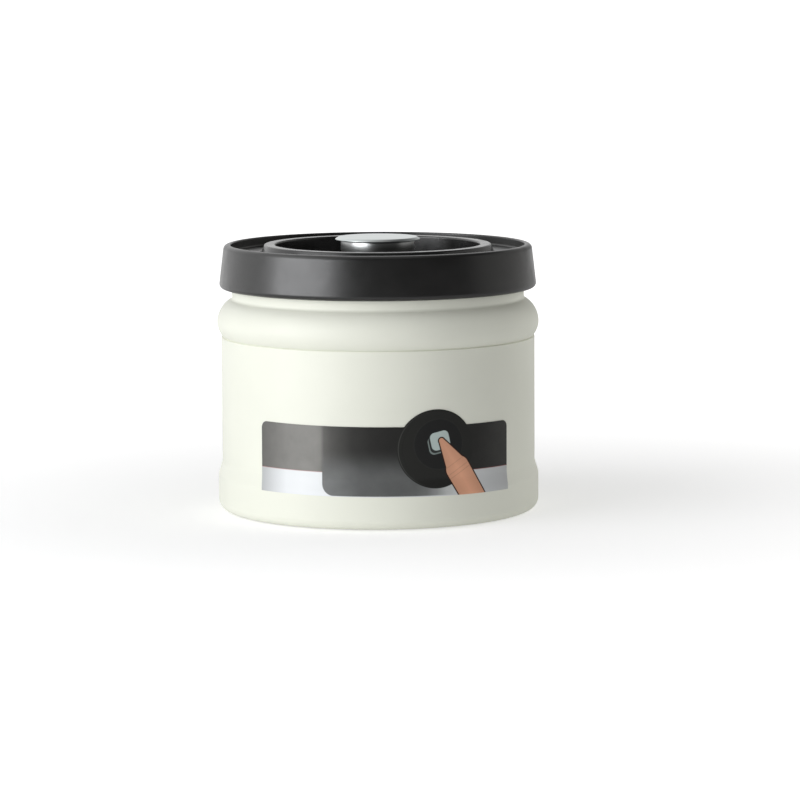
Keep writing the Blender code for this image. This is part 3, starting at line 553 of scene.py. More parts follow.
def paint_finish(name, tint):
    """Baked enamel: faint mottling, slight orange peel and fine dust in the gloss."""
    made, tree = fresh(name, Specular_IOR_Level=0.35)
    where = place(tree)
    tone = mixed(tree, spread(tree, grain(tree, where, 28.0, 3.0)), scaled(tint, 0.965), tint)
    dust = ramp(tree, grain(tree, where, 2600.0, 1.0), 0.66, 0.78)
    tone = mixed(tree, times(tree, dust, 0.06), tone, (0.55, 0.52, 0.44))
    gloss = ramp(tree, grain(tree, where, 90.0, 4.0), 0.25, 0.75, 0.42, 0.5)
    peel = grain(tree, where, 520.0, 2.0)
    return dressed(made, tone, gloss, peel, 0.012)


def plastic_finish(name, tint, rough, relief=0.02, specular=0.5):
    """Moulded plastic: spark-eroded texture, faint flow marks and rubbed patches."""
    made, tree = fresh(name, Specular_IOR_Level=specular)
    where = place(tree)
    flow = grain(tree, vectors(tree, "MULTIPLY", where, (1.0, 1.0, 3.0)), 45.0, 3.0)
    tone = mixed(tree, spread(tree, flow), tint, scaled(tint, 1.14, 0.002))
    worn = grain(tree, where, 120.0, 5.0, 0.6)
    worn = ramp(tree, worn, 0.3, 0.72, rough - 0.05, rough + 0.05)
    return dressed(made, tone, worn, grain(tree, where, 2200.0), relief)


def metal_finish(name, tint, rough, lines=0.0, along="RADIUS", wear=0.05):
    """Bare metal with turning or drawing marks: noise along the radius or the height."""
    made, tree = fresh(name, Metallic=1.0)
    where = place(tree)
    axes = node(tree, "ShaderNodeSeparateXYZ", {"Vector": where}).outputs
    radius = vectors(tree, "LENGTH", vectors(tree, "MULTIPLY", where, (1.0, 1.0, 0.0)))
    cloud = grain(tree, where, 60.0, 4.0)
    tone = mixed(tree, spread(tree, cloud), scaled(tint, 0.9), tint)
    marks = radius if along == "RADIUS" else axes["Z"]
    parts = {"X": marks, "Y": axes["X"], "Z": axes["Y"]}
    across = node(tree, "ShaderNodeCombineXYZ", parts).outputs[0]
    stretched = vectors(tree, "MULTIPLY", across, (5200.0, 25.0, 25.0))
    brushed = grain(tree, stretched, 1.0, 3.0, 0.7)
    smear = maths(tree, "ADD", spread(tree, cloud, -wear, wear), rough)
    shine = maths(tree, "MULTIPLY_ADD", less(tree, brushed, 0.5), wear * 2, smear)
    return dressed(made, tone, shine, brushed, lines)


def rubber_finish(name, tint, rough=0.75):
    """Soft rubber or silicone: matt skin with fine grain."""
    made, tree = fresh(name, Specular_IOR_Level=0.4)
    where = place(tree)
    tone = mixed(tree, spread(tree, grain(tree, where, 70.0, 4.0)), tint, scaled(tint, 1.1, 0.004))
    soft = spread(tree, grain(tree, where, 400.0, 3.0), rough - 0.06, rough + 0.06)
    return dressed(made, tone, soft, grain(tree, where, 1500.0, 3.0), 0.03)


# Label print


def edge(tree, distance, soft=0.12 * MM):
    """Share of ink from a signed distance: 1 inside, 0 outside."""
    return ramp(tree, distance, -soft, soft, 1.0, 0.0, "SMOOTHSTEP")


def gradient(tree, value, stops):
    """Colour that runs through stops of (place, colour), places in rising order."""
    low, high = stops[0][0], stops[-1][0]
    made = node(tree, "ShaderNodeValToRGB", {"Fac": ramp(tree, value, low, high)})
    bar = made.color_ramp.elements
    bar[0].color, bar[1].color = rgba(stops[0][1]), rgba(stops[-1][1])
    for where, tone in stops[1:-1]:
        bar.new((where - low) / (high - low)).color = rgba(tone)
    return made.outputs["Color"]


def greys(tint, *stops):
    """Stops of one tint at several strengths, at places in mm."""
    return [(where * MM, scaled(tint, level)) for where, level in stops]


def circle(tree, where, centre, radius):
    """Signed distance to a circle: |p - c| - radius."""
    return less(tree, vectors(tree, "DISTANCE", where, centre), radius)


def tile(tree, where, centre, half, corner, turn=0.0):
    """Signed distance to a turned rectangle with round corners.

    It is |max(|p - c| - inset, 0)| - corner, where the inset is the half size less the corner.
    """
    moved = vectors(tree, "SUBTRACT", where, centre)
    inputs = {"Vector": moved, "Axis": (0.0, 0.0, 1.0), "Angle": -turn}
    moved = node(tree, "ShaderNodeVectorRotate", inputs).outputs[0]
    inset = (half[0] - corner, half[1] - corner, 0.0)
    outside = vectors(tree, "SUBTRACT", vectors(tree, "ABSOLUTE", moved), inset)
    outside = vectors(tree, "MAXIMUM", outside, (0.0, 0.0, 0.0))
    return less(tree, vectors(tree, "LENGTH", outside), corner)


def taper(tree, where, start, end, thin, thick):
    """Signed distance to a tapered bar |p - a - h (b - a)| - radius, and its share h, 0 to 1.

    The share h is clamped, and the radius runs from thin to thick with it.
    """
    start, end = Vector(start), Vector(end)
    along = end - start
    reach = vectors(tree, "SUBTRACT", where, tuple(start))
    share = vectors(tree, "DOT_PRODUCT", reach, tuple(along / along.length_squared))
    share = maths(tree, "ADD", share, 0.0, clamp=True)
    spine = vectors(tree, "SCALE", tuple(along), share)
    gap = vectors(tree, "LENGTH", vectors(tree, "SUBTRACT", reach, spine))
    return less(tree, gap, ramp(tree, share, 0.0, 1.0, thin, thick)), share


def line_at(tree, distance, half, strength):
    """Thin stroke where a signed distance is nought."""
    return times(tree, edge(tree, maths(tree, "ABSOLUTE", distance), half), strength)


def band_print(tree, where, along, up):
    """Panel from warm grey to dark, thin line, silver band under it, and the lower tab."""
    c = colours()
    line_rise = 8.9 * MM
    tab_start = -25.6 * MM
    panel = gradient(tree, along, greys(
        c.label_grey, (-53, 0.48), (-46, 0.68), (-40, 0.87), (-33, 0.97), (-28, 0.94),
        (-26.2, 0.83), (-25, 0.45), (-22, 0.31), (-18, 0.21), (-14, 0.13), (-7, 0.09), (1, 0.075),
        (36, 0.09), (46, 0.15), (53, 0.17),
    ))
    cloud = spread(tree, grain(tree, where, 160.0, 3.0), 0.92, 1.06)
    panel = vectors(tree, "SCALE", panel, cloud)
    silver = gradient(tree, along, greys(
        c.label_silver, (-53, 0.53), (-46, 0.78), (-41, 0.95), (-34, 1.0), (-28, 1.0), (33, 0.76),
        (45, 0.66), (53, 0.6),
    ))
    upper = edge(tree, less(tree, line_rise, up), 0.1 * MM)
    ink = mixed(tree, upper, silver, panel)
    thin = line_at(tree, less(tree, up, line_rise), 0.38 * MM, 0.8)
    ink = mixed(tree, thin, ink, c.label_line)
    # Tab: everything right of its start, with a round lower corner, up to the motif
    reach = 60.0 * MM
    tab = tile(tree, where, (tab_start + reach, reach + 0.3 * MM, 0.0), (reach, reach), 4.2 * MM)
    before_disc = ramp(tree, along, 27.0 * MM, 27.4 * MM, 1.0, 0.0)
    foot = gradient(tree, along, greys(
        (0.98, 1.01, 1.0), (-25, 0.17), (-18, 0.15), (-11, 0.112), (4, 0.118), (10, 0.13),
        (14, 0.18), (18, 0.3), (22, 0.5), (26, 0.62),
    ))
    foot = vectors(tree, "SCALE", foot, cloud)
    shade = ramp(tree, up, line_rise - 3.0 * MM, line_rise + 9.0 * MM, 0.0, 1.0, "SMOOTHSTEP")
    inside = times(tree, edge(tree, tab), before_disc)
    ink = mixed(tree, inside, ink, mixed(tree, shade, foot, panel))
    below = edge(tree, less(tree, up, line_rise), 0.4 * MM)
    before_fade = ramp(tree, along, -14.0 * MM, 4.0 * MM, 1.0, 0.0)
    stroke = times(tree, line_at(tree, tab, 0.28 * MM, 0.85), below)
    return mixed(tree, times(tree, stroke, before_fade), ink, (0.04, 0.042, 0.042))


def motif_print(tree, ink, where, along):
    """Dark round motif with two rings, a pale tile on it and a plain pointer to the tile."""
    s, c = sizes(), colours()
    middle = (s.disc_offset, s.disc_rise, 0.0)
    flat = vectors(tree, "SUBTRACT", where, middle)
    flat = vectors(tree, "MULTIPLY", flat, (1 / s.disc_stretch, 1.0, 0.0))
    body = circle(tree, flat, (0.0, 0.0, 0.0), s.disc_radius)
    ink = mixed(tree, edge(tree, body), ink, (0.019, 0.0192, 0.0175))
    left = ramp(tree, along, s.disc_offset - 15.0 * MM, s.disc_offset - 4.0 * MM, 1.0, 0.0)
    for inset, half, tone in ((0.5, 0.3, (0.26, 0.27, 0.25)), (2.0, 0.5, (0.004, 0.004, 0.004))):
        ring = line_at(tree, maths(tree, "ADD", body, inset * MM), half * MM, 0.4)
        ink = mixed(tree, times(tree, ring, left), ink, tone)
    dish = circle(tree, flat, (0.9 * MM, 1.7 * MM, 0.0), 9.5 * MM)
    ink = mixed(tree, edge(tree, dish), ink, (0.014, 0.0142, 0.0142))
    ink = mixed(tree, line_at(tree, dish, 0.35 * MM, 0.5), ink, (0.045, 0.048, 0.043))
    # Pale tile on its own darker thickness
    turn = math.radians(12)
    for aside, down, tone in (
        (0.9, 1.5, (0.2, 0.24, 0.23)), (0.55, 0.95, (0.03, 0.034, 0.033)), (0.0, 0.0, None),
    ):
        centre = ((1.35 - aside) * MM, (3.05 - down) * MM, 0.0)
        shape = tile(tree, flat, centre, (3.7 * MM, 3.4 * MM), 1.9 * MM, turn)
        ink = mixed(tree, edge(tree, shape), ink, tone or c.label_tile)
    # Pointer from the lower edge to the tile, with a dark outline and a collar
    shoulder = (8.5 * MM, -7.8 * MM, 0.0)
    nose, share = taper(tree, flat, (1.9 * MM, 2.95 * MM, 0.0), shoulder, 1.0 * MM, 4.6 * MM)
    shaft, reach = taper(tree, flat, shoulder, (16.6 * MM, -21.2 * MM, 0.0), 4.8 * MM, 4.8 * MM)
    shape = maths(tree, "MINIMUM", nose, shaft)
    around = less(tree, shape, 0.5 * MM)
    ink = mixed(tree, edge(tree, around), ink, (0.03, 0.014, 0.01))
    near_edge = ramp(tree, shape, -5.0 * MM, -0.3 * MM)
    rounded = mixed(tree, near_edge, c.label_pointer, scaled(c.label_pointer, 0.8))
    for along_bar, mark in ((share, 0.8), (reach, 0.02), (reach, 0.12)):
        collar = line_at(tree, less(tree, along_bar, mark), 0.02, 0.55)
        rounded = mixed(tree, collar, rounded, (0.12, 0.05, 0.035))
    return mixed(tree, edge(tree, shape), ink, rounded)


def label_finish(name):
    """Printed film with a faint haze."""
    made, tree = fresh(name, Specular_IOR_Level=0.25)
    where = node(tree, "ShaderNodeUVMap", uv_map="Surface").outputs["UV"]
    axes = node(tree, "ShaderNodeSeparateXYZ", {"Vector": where}).outputs
    ink = band_print(tree, where, axes["X"], axes["Y"])
    ink = motif_print(tree, ink, where, axes["X"])
    haze = spread(tree, grain(tree, where, 900.0, 3.0), 0.4, 0.5)
    return dressed(made, ink, haze, grain(tree, where, 2400.0), 0.004)


# Operators


class CANISTER_OT_make_shell(bpy.types.Operator):
    """Painted shell: neck, round bulge, crease, straight wall and flared foot"""

    bl_idname = "canister.make_shell"
    bl_label = "Jar shell"

    def execute(self, context):
        finish = paint_finish("cream_enamel", colours().paint)
        turned("jar_shell", "jar", finish, shell_profile(), ["outer_shell"])
        return {"FINISHED"}


class CANISTER_OT_make_liner(bpy.types.Operator):
    """Bare steel liner with a rolled lip, hung on the shell's top"""

    bl_idname = "canister.make_liner"
    bl_label = "Steel liner"

    def execute(self, context):
        s = sizes()
        jar = jar_levels()
        mouth = jar.neck - SHELL_WALL - NECK_GAP - LINER_WALL
        wide = jar.wall - SHELL_WALL - WALL_GAP - LINER_WALL
        lip = jar.neck + LIP_REACH
        floor = LINER_LOW.z + LINER_WALL
        shoulder = PLATE_LOW.z - 1.0 * MM
        lower = shoulder - 6.0 * MM
        top = s.jar_height
        corner = 6.0 * MM
        profile = outline(
            (0.0, floor),
            (wide, floor, corner),
            (wide, lower, 8.0 * MM),
            (mouth, shoulder, 5.0 * MM),
            (mouth, top, 0.4 * MM),
            (lip, top, 0.45 * MM),
            (lip, top - LIP_HEIGHT, 0.4 * MM),
            (mouth + LINER_WALL, top - LIP_HEIGHT),
            (mouth + LINER_WALL, shoulder),
            (wide + LINER_WALL, lower),
            (wide + LINER_WALL, LINER_LOW.z, corner + LINER_WALL),
            (0.0, LINER_LOW.z),
        )
        finish = metal_finish("liner_metal", colours().steel, 0.3, 0.003, wear=0.02)
        turned("steel_liner", "jar", finish, profile, ["inner_liner"])
        return {"FINISHED"}


class CANISTER_OT_make_base(bpy.types.Operator):
    """Base plate with a pressed step, and the soft ring that the jar stands on"""

    bl_idname = "canister.make_base"
    bl_label = "Base plate and foot pad"

    def execute(self, context):
        low, high = BASE_LOW.z, BASE_HIGH.z
        radius = BASE_HIGH.x
        plate = outline((0.0, low), (radius, low, 0.2 * MM), (radius, high, 0.2 * MM), (0.0, high))
        finish = metal_finish("base_metal", colours().steel, 0.36, 0.006, wear=0.07)
        turned("base_disc", "jar", finish, plate, ["base_plate"])
        outer = PAD_HIGH.x
        inner = outer - PAD_WIDTH
        low, high = PAD_LOW.z, PAD_HIGH.z
        pad = outline(
            (outer, low, 0.45 * MM), (outer, high, 0.2 * MM), (inner, high, 0.2 * MM),
            (inner, low, 0.45 * MM),
        )
        finish = rubber_finish("pad_skin", colours().rubber)
        turned("stand_ring", "jar", finish, pad, ["foot_pad"])
        return {"FINISHED"}


class CANISTER_OT_make_label(bpy.types.Operator):
    """Printed film on the lower front, whose top edge rises over its round motif"""

    bl_idname = "canister.make_label"
    bl_label = "Label"

    def execute(self, context):
        vertices, faces, uvs = label_surface()
        finish = label_finish("label_film")
        piece("printed_label", "jar", finish, vertices, faces, ["label"], uvs)
        return {"FINISHED"}


def label_surface():
    """Film on the wall: the point at (along, up) is at the angle turn + along / radius there.

    Up runs from 0 to the top edge: the label's height, less its round corners, or the motif's
    circle where that is higher. The film has an outer and an inner side, joined at its rim.
    """
    s = sizes()
    left = -s.label_width / 2
    right = s.label_width / 2 - s.label_trim
    corner = s.label_corner * (1 - np.cos(np.linspace(0.0, np.pi / 2, CORNER_POINTS)))
    along = np.linspace(left, right, LABEL_COLUMNS)
    along = np.unique(np.concatenate((along, right - corner, left + corner)))
    nearest = np.minimum(along - left, right - along)
    into = np.clip(s.label_corner - nearest, 0.0, s.label_corner)
    top = s.label_height - s.label_corner + np.sqrt(s.label_corner**2 - into**2)
    off = np.clip(s.disc_radius**2 - ((along - s.disc_offset) / s.disc_stretch) ** 2, 0.0, None)
    top = np.maximum(top, np.where(off > 0, s.disc_rise + np.sqrt(off), 0.0))
    share = np.linspace(0.0, 1.0, LABEL_ROWS)
    up = share[:, None] * top[None]
    across = along[None] + 0 * up
    heights = s.label_bottom + up - math.tan(s.label_tilt) * across
    local = wall_radius(heights)
    angles = s.label_turn + across / local - np.pi / 2
    sides = []
    for lift in (FILM_OUTSIDE, FILM_INSIDE):
        radii = local + lift
        sides.append(np.stack((radii * np.cos(angles), radii * np.sin(angles), heights), axis=2))
    index = np.arange(up.size).reshape(up.shape)
    outer = strip_faces(index)
    inner = strip_faces(index[:, ::-1] + up.size)
    rim = np.concatenate((index[0], index[1:, -1], index[-1, -2::-1], index[-2::-1, 0]))
    walls = strip_faces(np.stack((rim, rim + up.size))[::-1])
    vertices = np.concatenate([side.reshape(-1, 3) for side in sides])
    flat = np.stack((across, up), axis=2).reshape(-1, 2)
    return vertices, outer + inner + walls, np.concatenate((flat, flat))


class CANISTER_OT_make_cover(bpy.types.Operator):
    """Lid cover: leaning skirt, raised rim and the shallow groove round the well"""

    bl_idname = "canister.make_cover"
    bl_label = "Lid cover"

    def execute(self, context):
        s = sizes()
        bottom, top = COVER_LOW.z, COVER_HIGH.z
        outer = COVER_HIGH.x
        inner = outer - s.skirt_wall
        rim = outer - s.skirt_draft
        rim_inner = rim - s.rim_width
        hole = rim_inner - s.groove_width + FIT
        groove = top - s.rim_rise
        seat = SHELL_HIGH.z + LIP_HEIGHT + 2 * FIT
        profile = outline(
            (outer, bottom, 1.7 * MM),
            (inner, bottom, 0.4 * MM),
            (inner, seat, 0.8 * MM),
            (hole, seat),
            (hole, groove, 0.15 * MM),
            (rim_inner, groove, 0.8 * MM),
            (rim_inner, top, 0.55 * MM),
            (rim, top, 1.9 * MM),
        )
        finish = plastic_finish("cover_black", colours().cover, 0.33, 0.004, specular=0.7)
        turned("lid_top", "lid", finish, profile, ["lid_cover"])
        return {"FINISHED"}


class CANISTER_OT_make_well(bpy.types.Operator):
    """Well bowl with its raised ring, and the soft ring that wipes the stem"""

    bl_idname = "canister.make_well"
    bl_label = "Well"

    def execute(self, context):
        s = sizes()
        top = COVER_HIGH.z
        ring = COVER_HIGH.x - s.skirt_draft - s.rim_width - s.groove_width
        well = ring - s.ring_width
        floor = top - s.well_depth
        under = floor - 2.0 * MM
        side = well + 2.0 * MM
        foot = ring + 2.0 * MM
        groove = top - s.rim_rise + 0.04 * MM
        hole = STEM_HIGH.x + SLIDE_FIT
        flange = BOWL_HIGH.x
        flange_top = s.jar_height
        flange_under = flange_top - 2.2 * MM
        profile = outline(
            (ring, flange_top),
            (ring, groove),
            (foot, groove),
            (foot, groove + 0.02 * MM),
            (ring + 0.7 * MM, groove + 0.1 * MM, 1.2 * MM),
            (ring - 0.6 * MM, top, 0.8 * MM),
            (well, top, 0.7 * MM),
            (well, floor, 2.0 * MM),
            (hole, floor, 0.3 * MM),
            (hole, under),
            (side, under, 1.0 * MM),
            (side, flange_under),
            (flange, flange_under, 0.3 * MM),
            (flange, flange_top, 0.3 * MM),
        )
        finish = plastic_finish("bowl_black", colours().bowl, 0.24, 0.003, specular=0.7)
        turned("well_ring", "lid", finish, profile, ["well_bowl"])
        inner = STEM_HIGH.x + FIT
        outer = WIPER_HIGH.x
        low, high = WIPER_LOW.z, WIPER_HIGH.z
        wiper = outline(
            (inner, low), (outer, low, 0.15 * MM), (outer - 0.6 * MM, high, 0.3 * MM),
            (inner, high, 0.3 * MM),
        )
        finish = rubber_finish("wiper_skin", colours().rubber, 0.6)
        turned("wiper_ring", "lid", finish, wiper, ["stem_wiper"])
        return {"FINISHED"}


class CANISTER_OT_make_gasket(bpy.types.Operator):
    """Gasket that is squeezed between the plug's shoulder and the seal plate"""

    bl_idname = "canister.make_gasket"
    bl_label = "Gasket"

    def execute(self, context):
        outer = GASKET_HIGH.x
        inner = outer - GASKET_WIDTH
        low, high = GASKET_LOW.z, GASKET_HIGH.z
        profile = outline(
            (inner, low, 0.3 * MM), (outer, low, 1.0 * MM), (outer, high, 1.0 * MM),
            (inner, high, 0.3 * MM),
        )
        finish = rubber_finish("gasket_skin", colours().silicone, 0.5)
        ring = turned("gasket_ring", None, finish, profile, ["gasket"])
        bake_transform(ring)
        return {"FINISHED"}


class CANISTER_OT_make_button(bpy.types.Operator):
    """Button: satin cap with a bright edge, and the polished stem under it"""

    bl_idname = "canister.make_button"
    bl_label = "Button"

    def execute(self, context):
        s = sizes()
        top, under = CAP_HIGH.z, CAP_LOW.z
        radius = CAP_HIGH.x
        stem = STEM_HIGH.x
        neck = stem - 1.1 * MM
        socket = 1.5 * MM
        profile = outline(
            (0.0, top),
            (radius - s.cap_bevel, top, 0.4 * MM),
            (radius, top - s.cap_edge, 0.2 * MM),
            (radius - 0.2 * MM, top - s.cap_edge - 0.35 * MM, 0.1 * MM),
            (neck, top - s.cap_edge - 0.8 * MM),
            (neck, under),
            (socket, under),
            (socket, top - s.cap_edge),
            (0.0, top - s.cap_edge),
        )
        finish = metal_finish("cap_satin", colours().cap, 0.32, 0.001, wear=0.03)
        turned("cap_disc", "button", finish, profile, ["button_cap"])
        inner = stem - STEM_WALL
        low, high = STEM_LOW.z, top - s.cap_edge - 0.7 * MM
        widest = high - 1.7 * MM
        sleeve = outline(
            (stem - 0.5 * MM, low, 0.2 * MM),
            *arc((stem - s.stem_swell, widest), s.stem_swell, -0.25, 0.1, SLEEVE_STEPS),
            (inner, high),
            (inner, low, 0.2 * MM),
        )
        finish = metal_finish("stem_polish", colours().chrome, 0.3, 0.0, "HEIGHT", 0.03)
        turned("stem_sleeve", "button", finish, sleeve, ["button_stem"])
        return {"FINISHED"}


class CANISTER_OT_make_spring(bpy.types.Operator):
    """Coil that pushes the button up, made at the length of the imported solid"""

    bl_idname = "canister.make_spring"
    bl_label = "Return spring"

    def execute(self, context):
        wire = 0.6 * MM
        start, end = SPRING_LOW.z + wire, SPRING_HIGH.z - wire
        vertices, faces = coil(SPRING_HIGH.x - wire, wire, start, end, sizes().spring_curls)
        finish = metal_finish("spring_wire", PIN_STEEL, PIN_ROUGH)
        made = piece(
            "spring_coil", None, finish, vertices, faces, ["return_spring"]
        )
        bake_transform(made)
        return {"FINISHED"}


def coil(radius, wire, start, end, turns):
    """Tube round a helix: centre (R cos t, R sin t, start + rise t), section of the wire's radius.

    The section is spanned by the outward direction and the cross product of it with the tangent.
    Its ends are closed to a point.
    """
    steps = turns * TURN_STEPS
    angle = 2 * np.pi * turns * np.arange(steps + 1) / steps
    angle = np.concatenate((angle[:1], angle, angle[-1:]))[:, None]
    rise = (end - start) / (2 * np.pi * turns)
    outward = np.concatenate((np.cos(angle), np.sin(angle), 0 * angle), axis=1)
    onward = np.concatenate((-np.sin(angle), np.cos(angle), 0 * angle), axis=1)
    upward = np.array((0.0, 0.0, rise))
    centre = radius * outward + angle * upward + (0.0, 0.0, start)
    tangent = radius * onward + upward
    tangent /= np.linalg.norm(tangent, axis=1)[:, None]
    other = np.cross(tangent, outward)
    around = (2 * np.pi * np.arange(WIRE_SIDES) / WIRE_SIDES)[None, :, None]
    poles = np.zeros(steps + 3, bool)
    poles[[0, -1]] = True
    section = np.cos(around) * outward[:, None] + np.sin(around) * other[:, None]
    section[poles] = 0.0
    vertices, index = ring_rows(centre[:, None] + wire * section, poles)
    return vertices, strip_faces(index[:, ::-1])


class CANISTER_OT_make_plug_skin(bpy.types.Operator):
    """Smooth outer wall of the plug and smooth underside of the seal plate, over the solids"""

    bl_idname = "canister.make_plug_skin"
    bl_label = "Plug skin"

    def execute(self, context):
        finish = plastic_finish("plug_outside", colours().inner, 0.38, 0.01)
        skin = 0.04 * MM
        thick = 1.2 * MM
        outer = PLUG_HIGH.x + skin
        shoulder = GASKET_HIGH.z + skin / 2
        wall = outline(
            (outer, shoulder, 0.5 * MM), (outer, PLUG_HIGH.z, 0.3 * MM),
            (outer - thick, PLUG_HIGH.z), (outer - thick, shoulder),
        )
        turned("plug_wall", "lid", finish, wall)
        outer = PLATE_HIGH.x + skin
        low = PLATE_LOW.z - skin
        rib = low - 0.5 * MM
        inside = low + 1.0 * MM
        rim = GASKET_LOW.z - skin / 2
        tray = outline(
            (0.0, low),
            (outer - 9.0 * MM, low, 3.0 * MM),
            (outer - 8.3 * MM, rib, 0.8 * MM),
            (outer - 6.2 * MM, rib, 0.8 * MM),
            (outer - 5.5 * MM, low, 3.0 * MM),
            (outer, low, 1.1 * MM),
            (outer, rim, 0.4 * MM),
            (outer - thick, rim),
            (outer - thick, inside),
            (0.0, inside),
        )
        turned("plate_tray", "seal", finish, tray)
        return {"FINISHED"}


class CANISTER_OT_finish_inner_parts(bpy.types.Operator):
    """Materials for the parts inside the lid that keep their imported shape"""

    bl_idname = "canister.finish_inner_parts"
    bl_label = "Inner parts"

    def execute(self, context):
        c = colours()
        inner = plastic_finish("plug_white", c.inner, 0.42)
        lever = plastic_finish("lever_grey", c.lever, 0.4)
        core = plastic_finish("core_black", c.core, 0.42)
        steel = metal_finish("pin_metal", PIN_STEEL, PIN_ROUGH)
        # A later row wins, so the lever pins are steel
        rows = (
            (inner, ("plug", "seal_plate")),
            (lever, ("lever_", "latch_hook")),
            (core, ("button_core",)),
            (steel, ("lever_pin", "latch_pin", "cap_screw", "body_screw")),
        )
        for finish, starts in rows:
            for name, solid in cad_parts.items():
                if name.startswith(starts):
                    for slot in solid.material_slots:
                        slot.material = finish
        return {"FINISHED"}


class CANISTER_OT_make_stage(bpy.types.Operator):
    """Pale floor, white surroundings, soft lamps and the camera"""

    bl_idname = "canister.make_stage"
    bl_label = "Stage"

    def execute(self, context):
        make_floor()
        make_world()
        for row in LAMPS:
            lamp(*row)
        make_camera()
        context.scene.view_settings.view_transform = "Standard"
        return {"FINISHED"}


def make_floor():
    """Large flat floor: white far off, lit by the lamps near the object, so its shadow shows; near
    the object its glow is dimmer, a painted shade round the foot.
    """
    half = 40.0
    mesh = bpy.data.meshes.new("studio_floor")
    corners = [(-half, -half, 0), (half, -half, 0), (half, half, 0), (-half, half, 0)]
    mesh.from_pydata(corners, [], [(0, 1, 2, 3)])
    made, tree = fresh(
        "floor_white", Roughness=0.9, Specular_IOR_Level=0.1, Base_Color=rgba((0.78, 0.78, 0.78)),
        Emission_Color=rgba(WHITE),
    )
    path = node(tree, "ShaderNodeLightPath").outputs
    where = place(tree)
    glow = seen_share(tree, path, room_glow(tree, where, -0.3, 0.8))
    away = vectors(tree, "LENGTH", where)
    # Glow for camera rays dims towards the object: a painted shade round its foot, on top of the
    # real shadow
    level = ramp(tree, away, 0.08, 0.5, 0.46, 1.0)
    # Diffuse rays see an even floor glow, which stands in for bounced light on the object
    diffuse_floor_glow = times(tree, path["Is Diffuse Ray"], FLOOR_FILL)
    shine = maths(tree, "MAXIMUM", times(tree, glow, level), diffuse_floor_glow)
    tree.links.new(shine, tree.nodes["Principled BSDF"].inputs["Emission Strength"])
    mesh.materials.append(made)
    floor = added("studio_floor", mesh)


def room_glow(tree, where, low, high):
    """Brightness of the room in gloss: white behind and to the left, dim in front and right."""
    turned_to = vectors(tree, "DOT_PRODUCT", where, GLOW_SIDE)
    return ramp(tree, turned_to, low, high, FRONT_GLOW, 1.0)


def seen_share(tree, path, glossy):
    """1 for camera rays, the glossy share for glossy and transmission rays, 0 for others."""
    shiny = maths(tree, "MAXIMUM", path["Is Glossy Ray"], path["Is Transmission Ray"])
    shiny = times(tree, shiny, glossy)
    return maths(tree, "MAXIMUM", path["Is Camera Ray"], shiny)


def make_world():
    """White backdrop: full where it is seen, dimmer in gloss on the camera's side of the room.

    Its fill light on the object comes more from the right and from low down.
    """
    world = bpy.data.worlds.new("studio_white")
    bpy.context.scene.world = world
    world.use_nodes = True
    tree = world.node_tree
    tree.nodes.clear()
    path = node(tree, "ShaderNodeLightPath").outputs
    towards = node(tree, "ShaderNodeTexCoord").outputs["Generated"]
    glow = room_glow(tree, towards, 0.0, 0.5)
    right = vectors(tree, "DOT_PRODUCT", towards, FILL_SIDE)
    height = node(tree, "ShaderNodeSeparateXYZ", {"Vector": towards}).outputs["Z"]
    fill = ramp(tree, right, -1.0, 1.0, FILL, SIDE_FILL)
    fill = times(tree, fill, ramp(tree, height, 0.0, 1.0, 1.3, 0.4))
    fill = times(tree, path["Is Diffuse Ray"], fill)
    strength = maths(tree, "MAXIMUM", seen_share(tree, path, glow), fill)
    back = node(tree, "ShaderNodeBackground", {"Color": rgba(WHITE), "Strength": strength})
    out = node(tree, "ShaderNodeOutputWorld")
    tree.links.new(back.outputs[0], out.inputs[0])


def lamp(name, azimuth, elevation, distance, size, power, tint, in_gloss):
    """Soft lamp that looks at the object; azimuth 0 is in front, positive to the right."""
    data = bpy.data.lights.new(name, "AREA")
    data.shape = "RECTANGLE"
    data.size, data.size_y = size
    data.energy = power
    data.color = tint
    made = added(name, data)
    made.visible_glossy = in_gloss
    a, e = math.radians(azimuth), math.radians(elevation)
    away = Vector((math.sin(a) * math.cos(e), -math.cos(a) * math.cos(e), math.sin(e)))
    made.location = LAMP_AIM + away * distance
    made.rotation_euler = (-away).to_track_quat("-Z", "Y").to_euler()


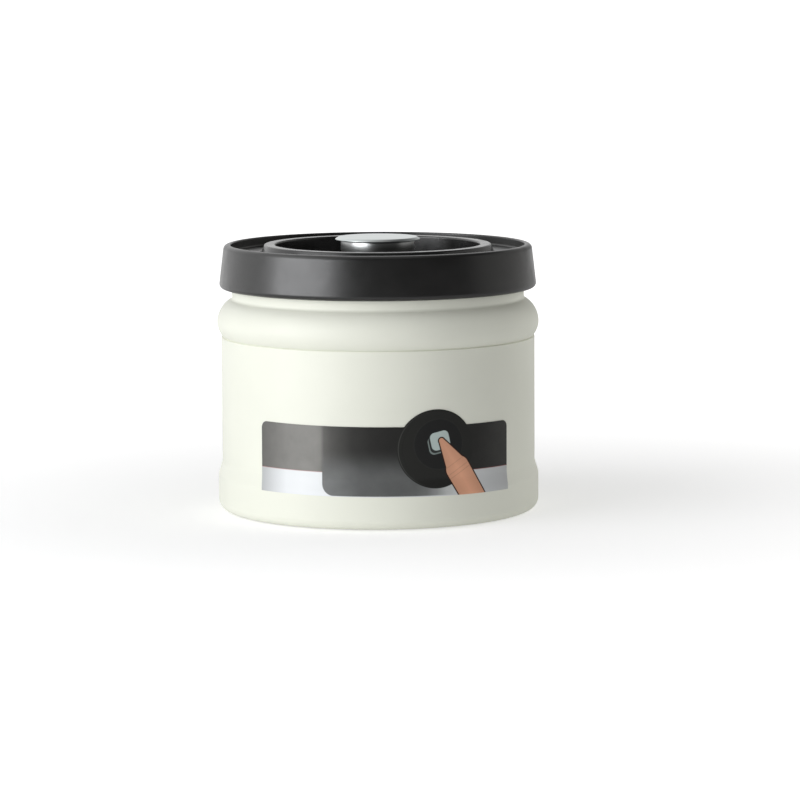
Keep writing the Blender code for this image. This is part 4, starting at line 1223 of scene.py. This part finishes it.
def make_camera():
    """Camera in front of the object, at the photograph's angle."""
    data = bpy.data.cameras.new("camera")
    data.lens = LENS
    data.sensor_width = 36.0
    data.clip_start, data.clip_end = 0.1, 30.0
    camera = added("camera", data)
    away = Vector((0.0, -math.cos(ELEVATION), math.sin(ELEVATION)))
    camera.location = MIDDLE + away * DISTANCE
    aim = MIDDLE + AIM_SHIFT
    look = (aim - camera.location).to_track_quat("-Z", "Y").to_matrix().to_4x4()
    roll = Matrix.Rotation(ROLL, 4, "Z")
    camera.matrix_world = Matrix.Translation(camera.location) @ look @ roll
    bpy.context.scene.camera = camera


STEPS = (
    CANISTER_OT_make_shell,
    CANISTER_OT_make_liner,
    CANISTER_OT_make_base,
    CANISTER_OT_make_label,
    CANISTER_OT_make_cover,
    CANISTER_OT_make_well,
    CANISTER_OT_make_gasket,
    CANISTER_OT_make_button,
    CANISTER_OT_make_spring,
    CANISTER_OT_make_plug_skin,
    CANISTER_OT_finish_inner_parts,
    CANISTER_OT_make_stage,
)


class CANISTER_PT_panel(bpy.types.Panel):
    """Sizes, colours and the steps that build the canister"""

    bl_idname = "CANISTER_PT_panel"
    bl_label = "Push-button canister"
    bl_space_type = "VIEW_3D"
    bl_region_type = "UI"
    bl_category = "Canister"

    def draw(self, context):
        for group in (sizes(), colours()):
            column = self.layout.column(align=True)
            for name in group.__annotations__:
                column.prop(group, name)
        steps = self.layout.column(align=True)
        for step in STEPS:
            steps.operator(step.bl_idname)


CLASSES = (CanisterSizes, CanisterColours, *STEPS, CANISTER_PT_panel)


def register():
    for entry in CLASSES:
        bpy.utils.register_class(entry)
    bpy.types.Scene.canister_sizes = PointerProperty(type=CanisterSizes)
    bpy.types.Scene.canister_colours = PointerProperty(type=CanisterColours)


def unregister():
    del bpy.types.Scene.canister_colours
    del bpy.types.Scene.canister_sizes
    for entry in reversed(CLASSES):
        bpy.utils.unregister_class(entry)


def main():
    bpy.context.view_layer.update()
    register()
    for step in STEPS:
        getattr(bpy.ops.canister, step.bl_idname.split(".")[1])()


if __name__ == "__main__":
    main()
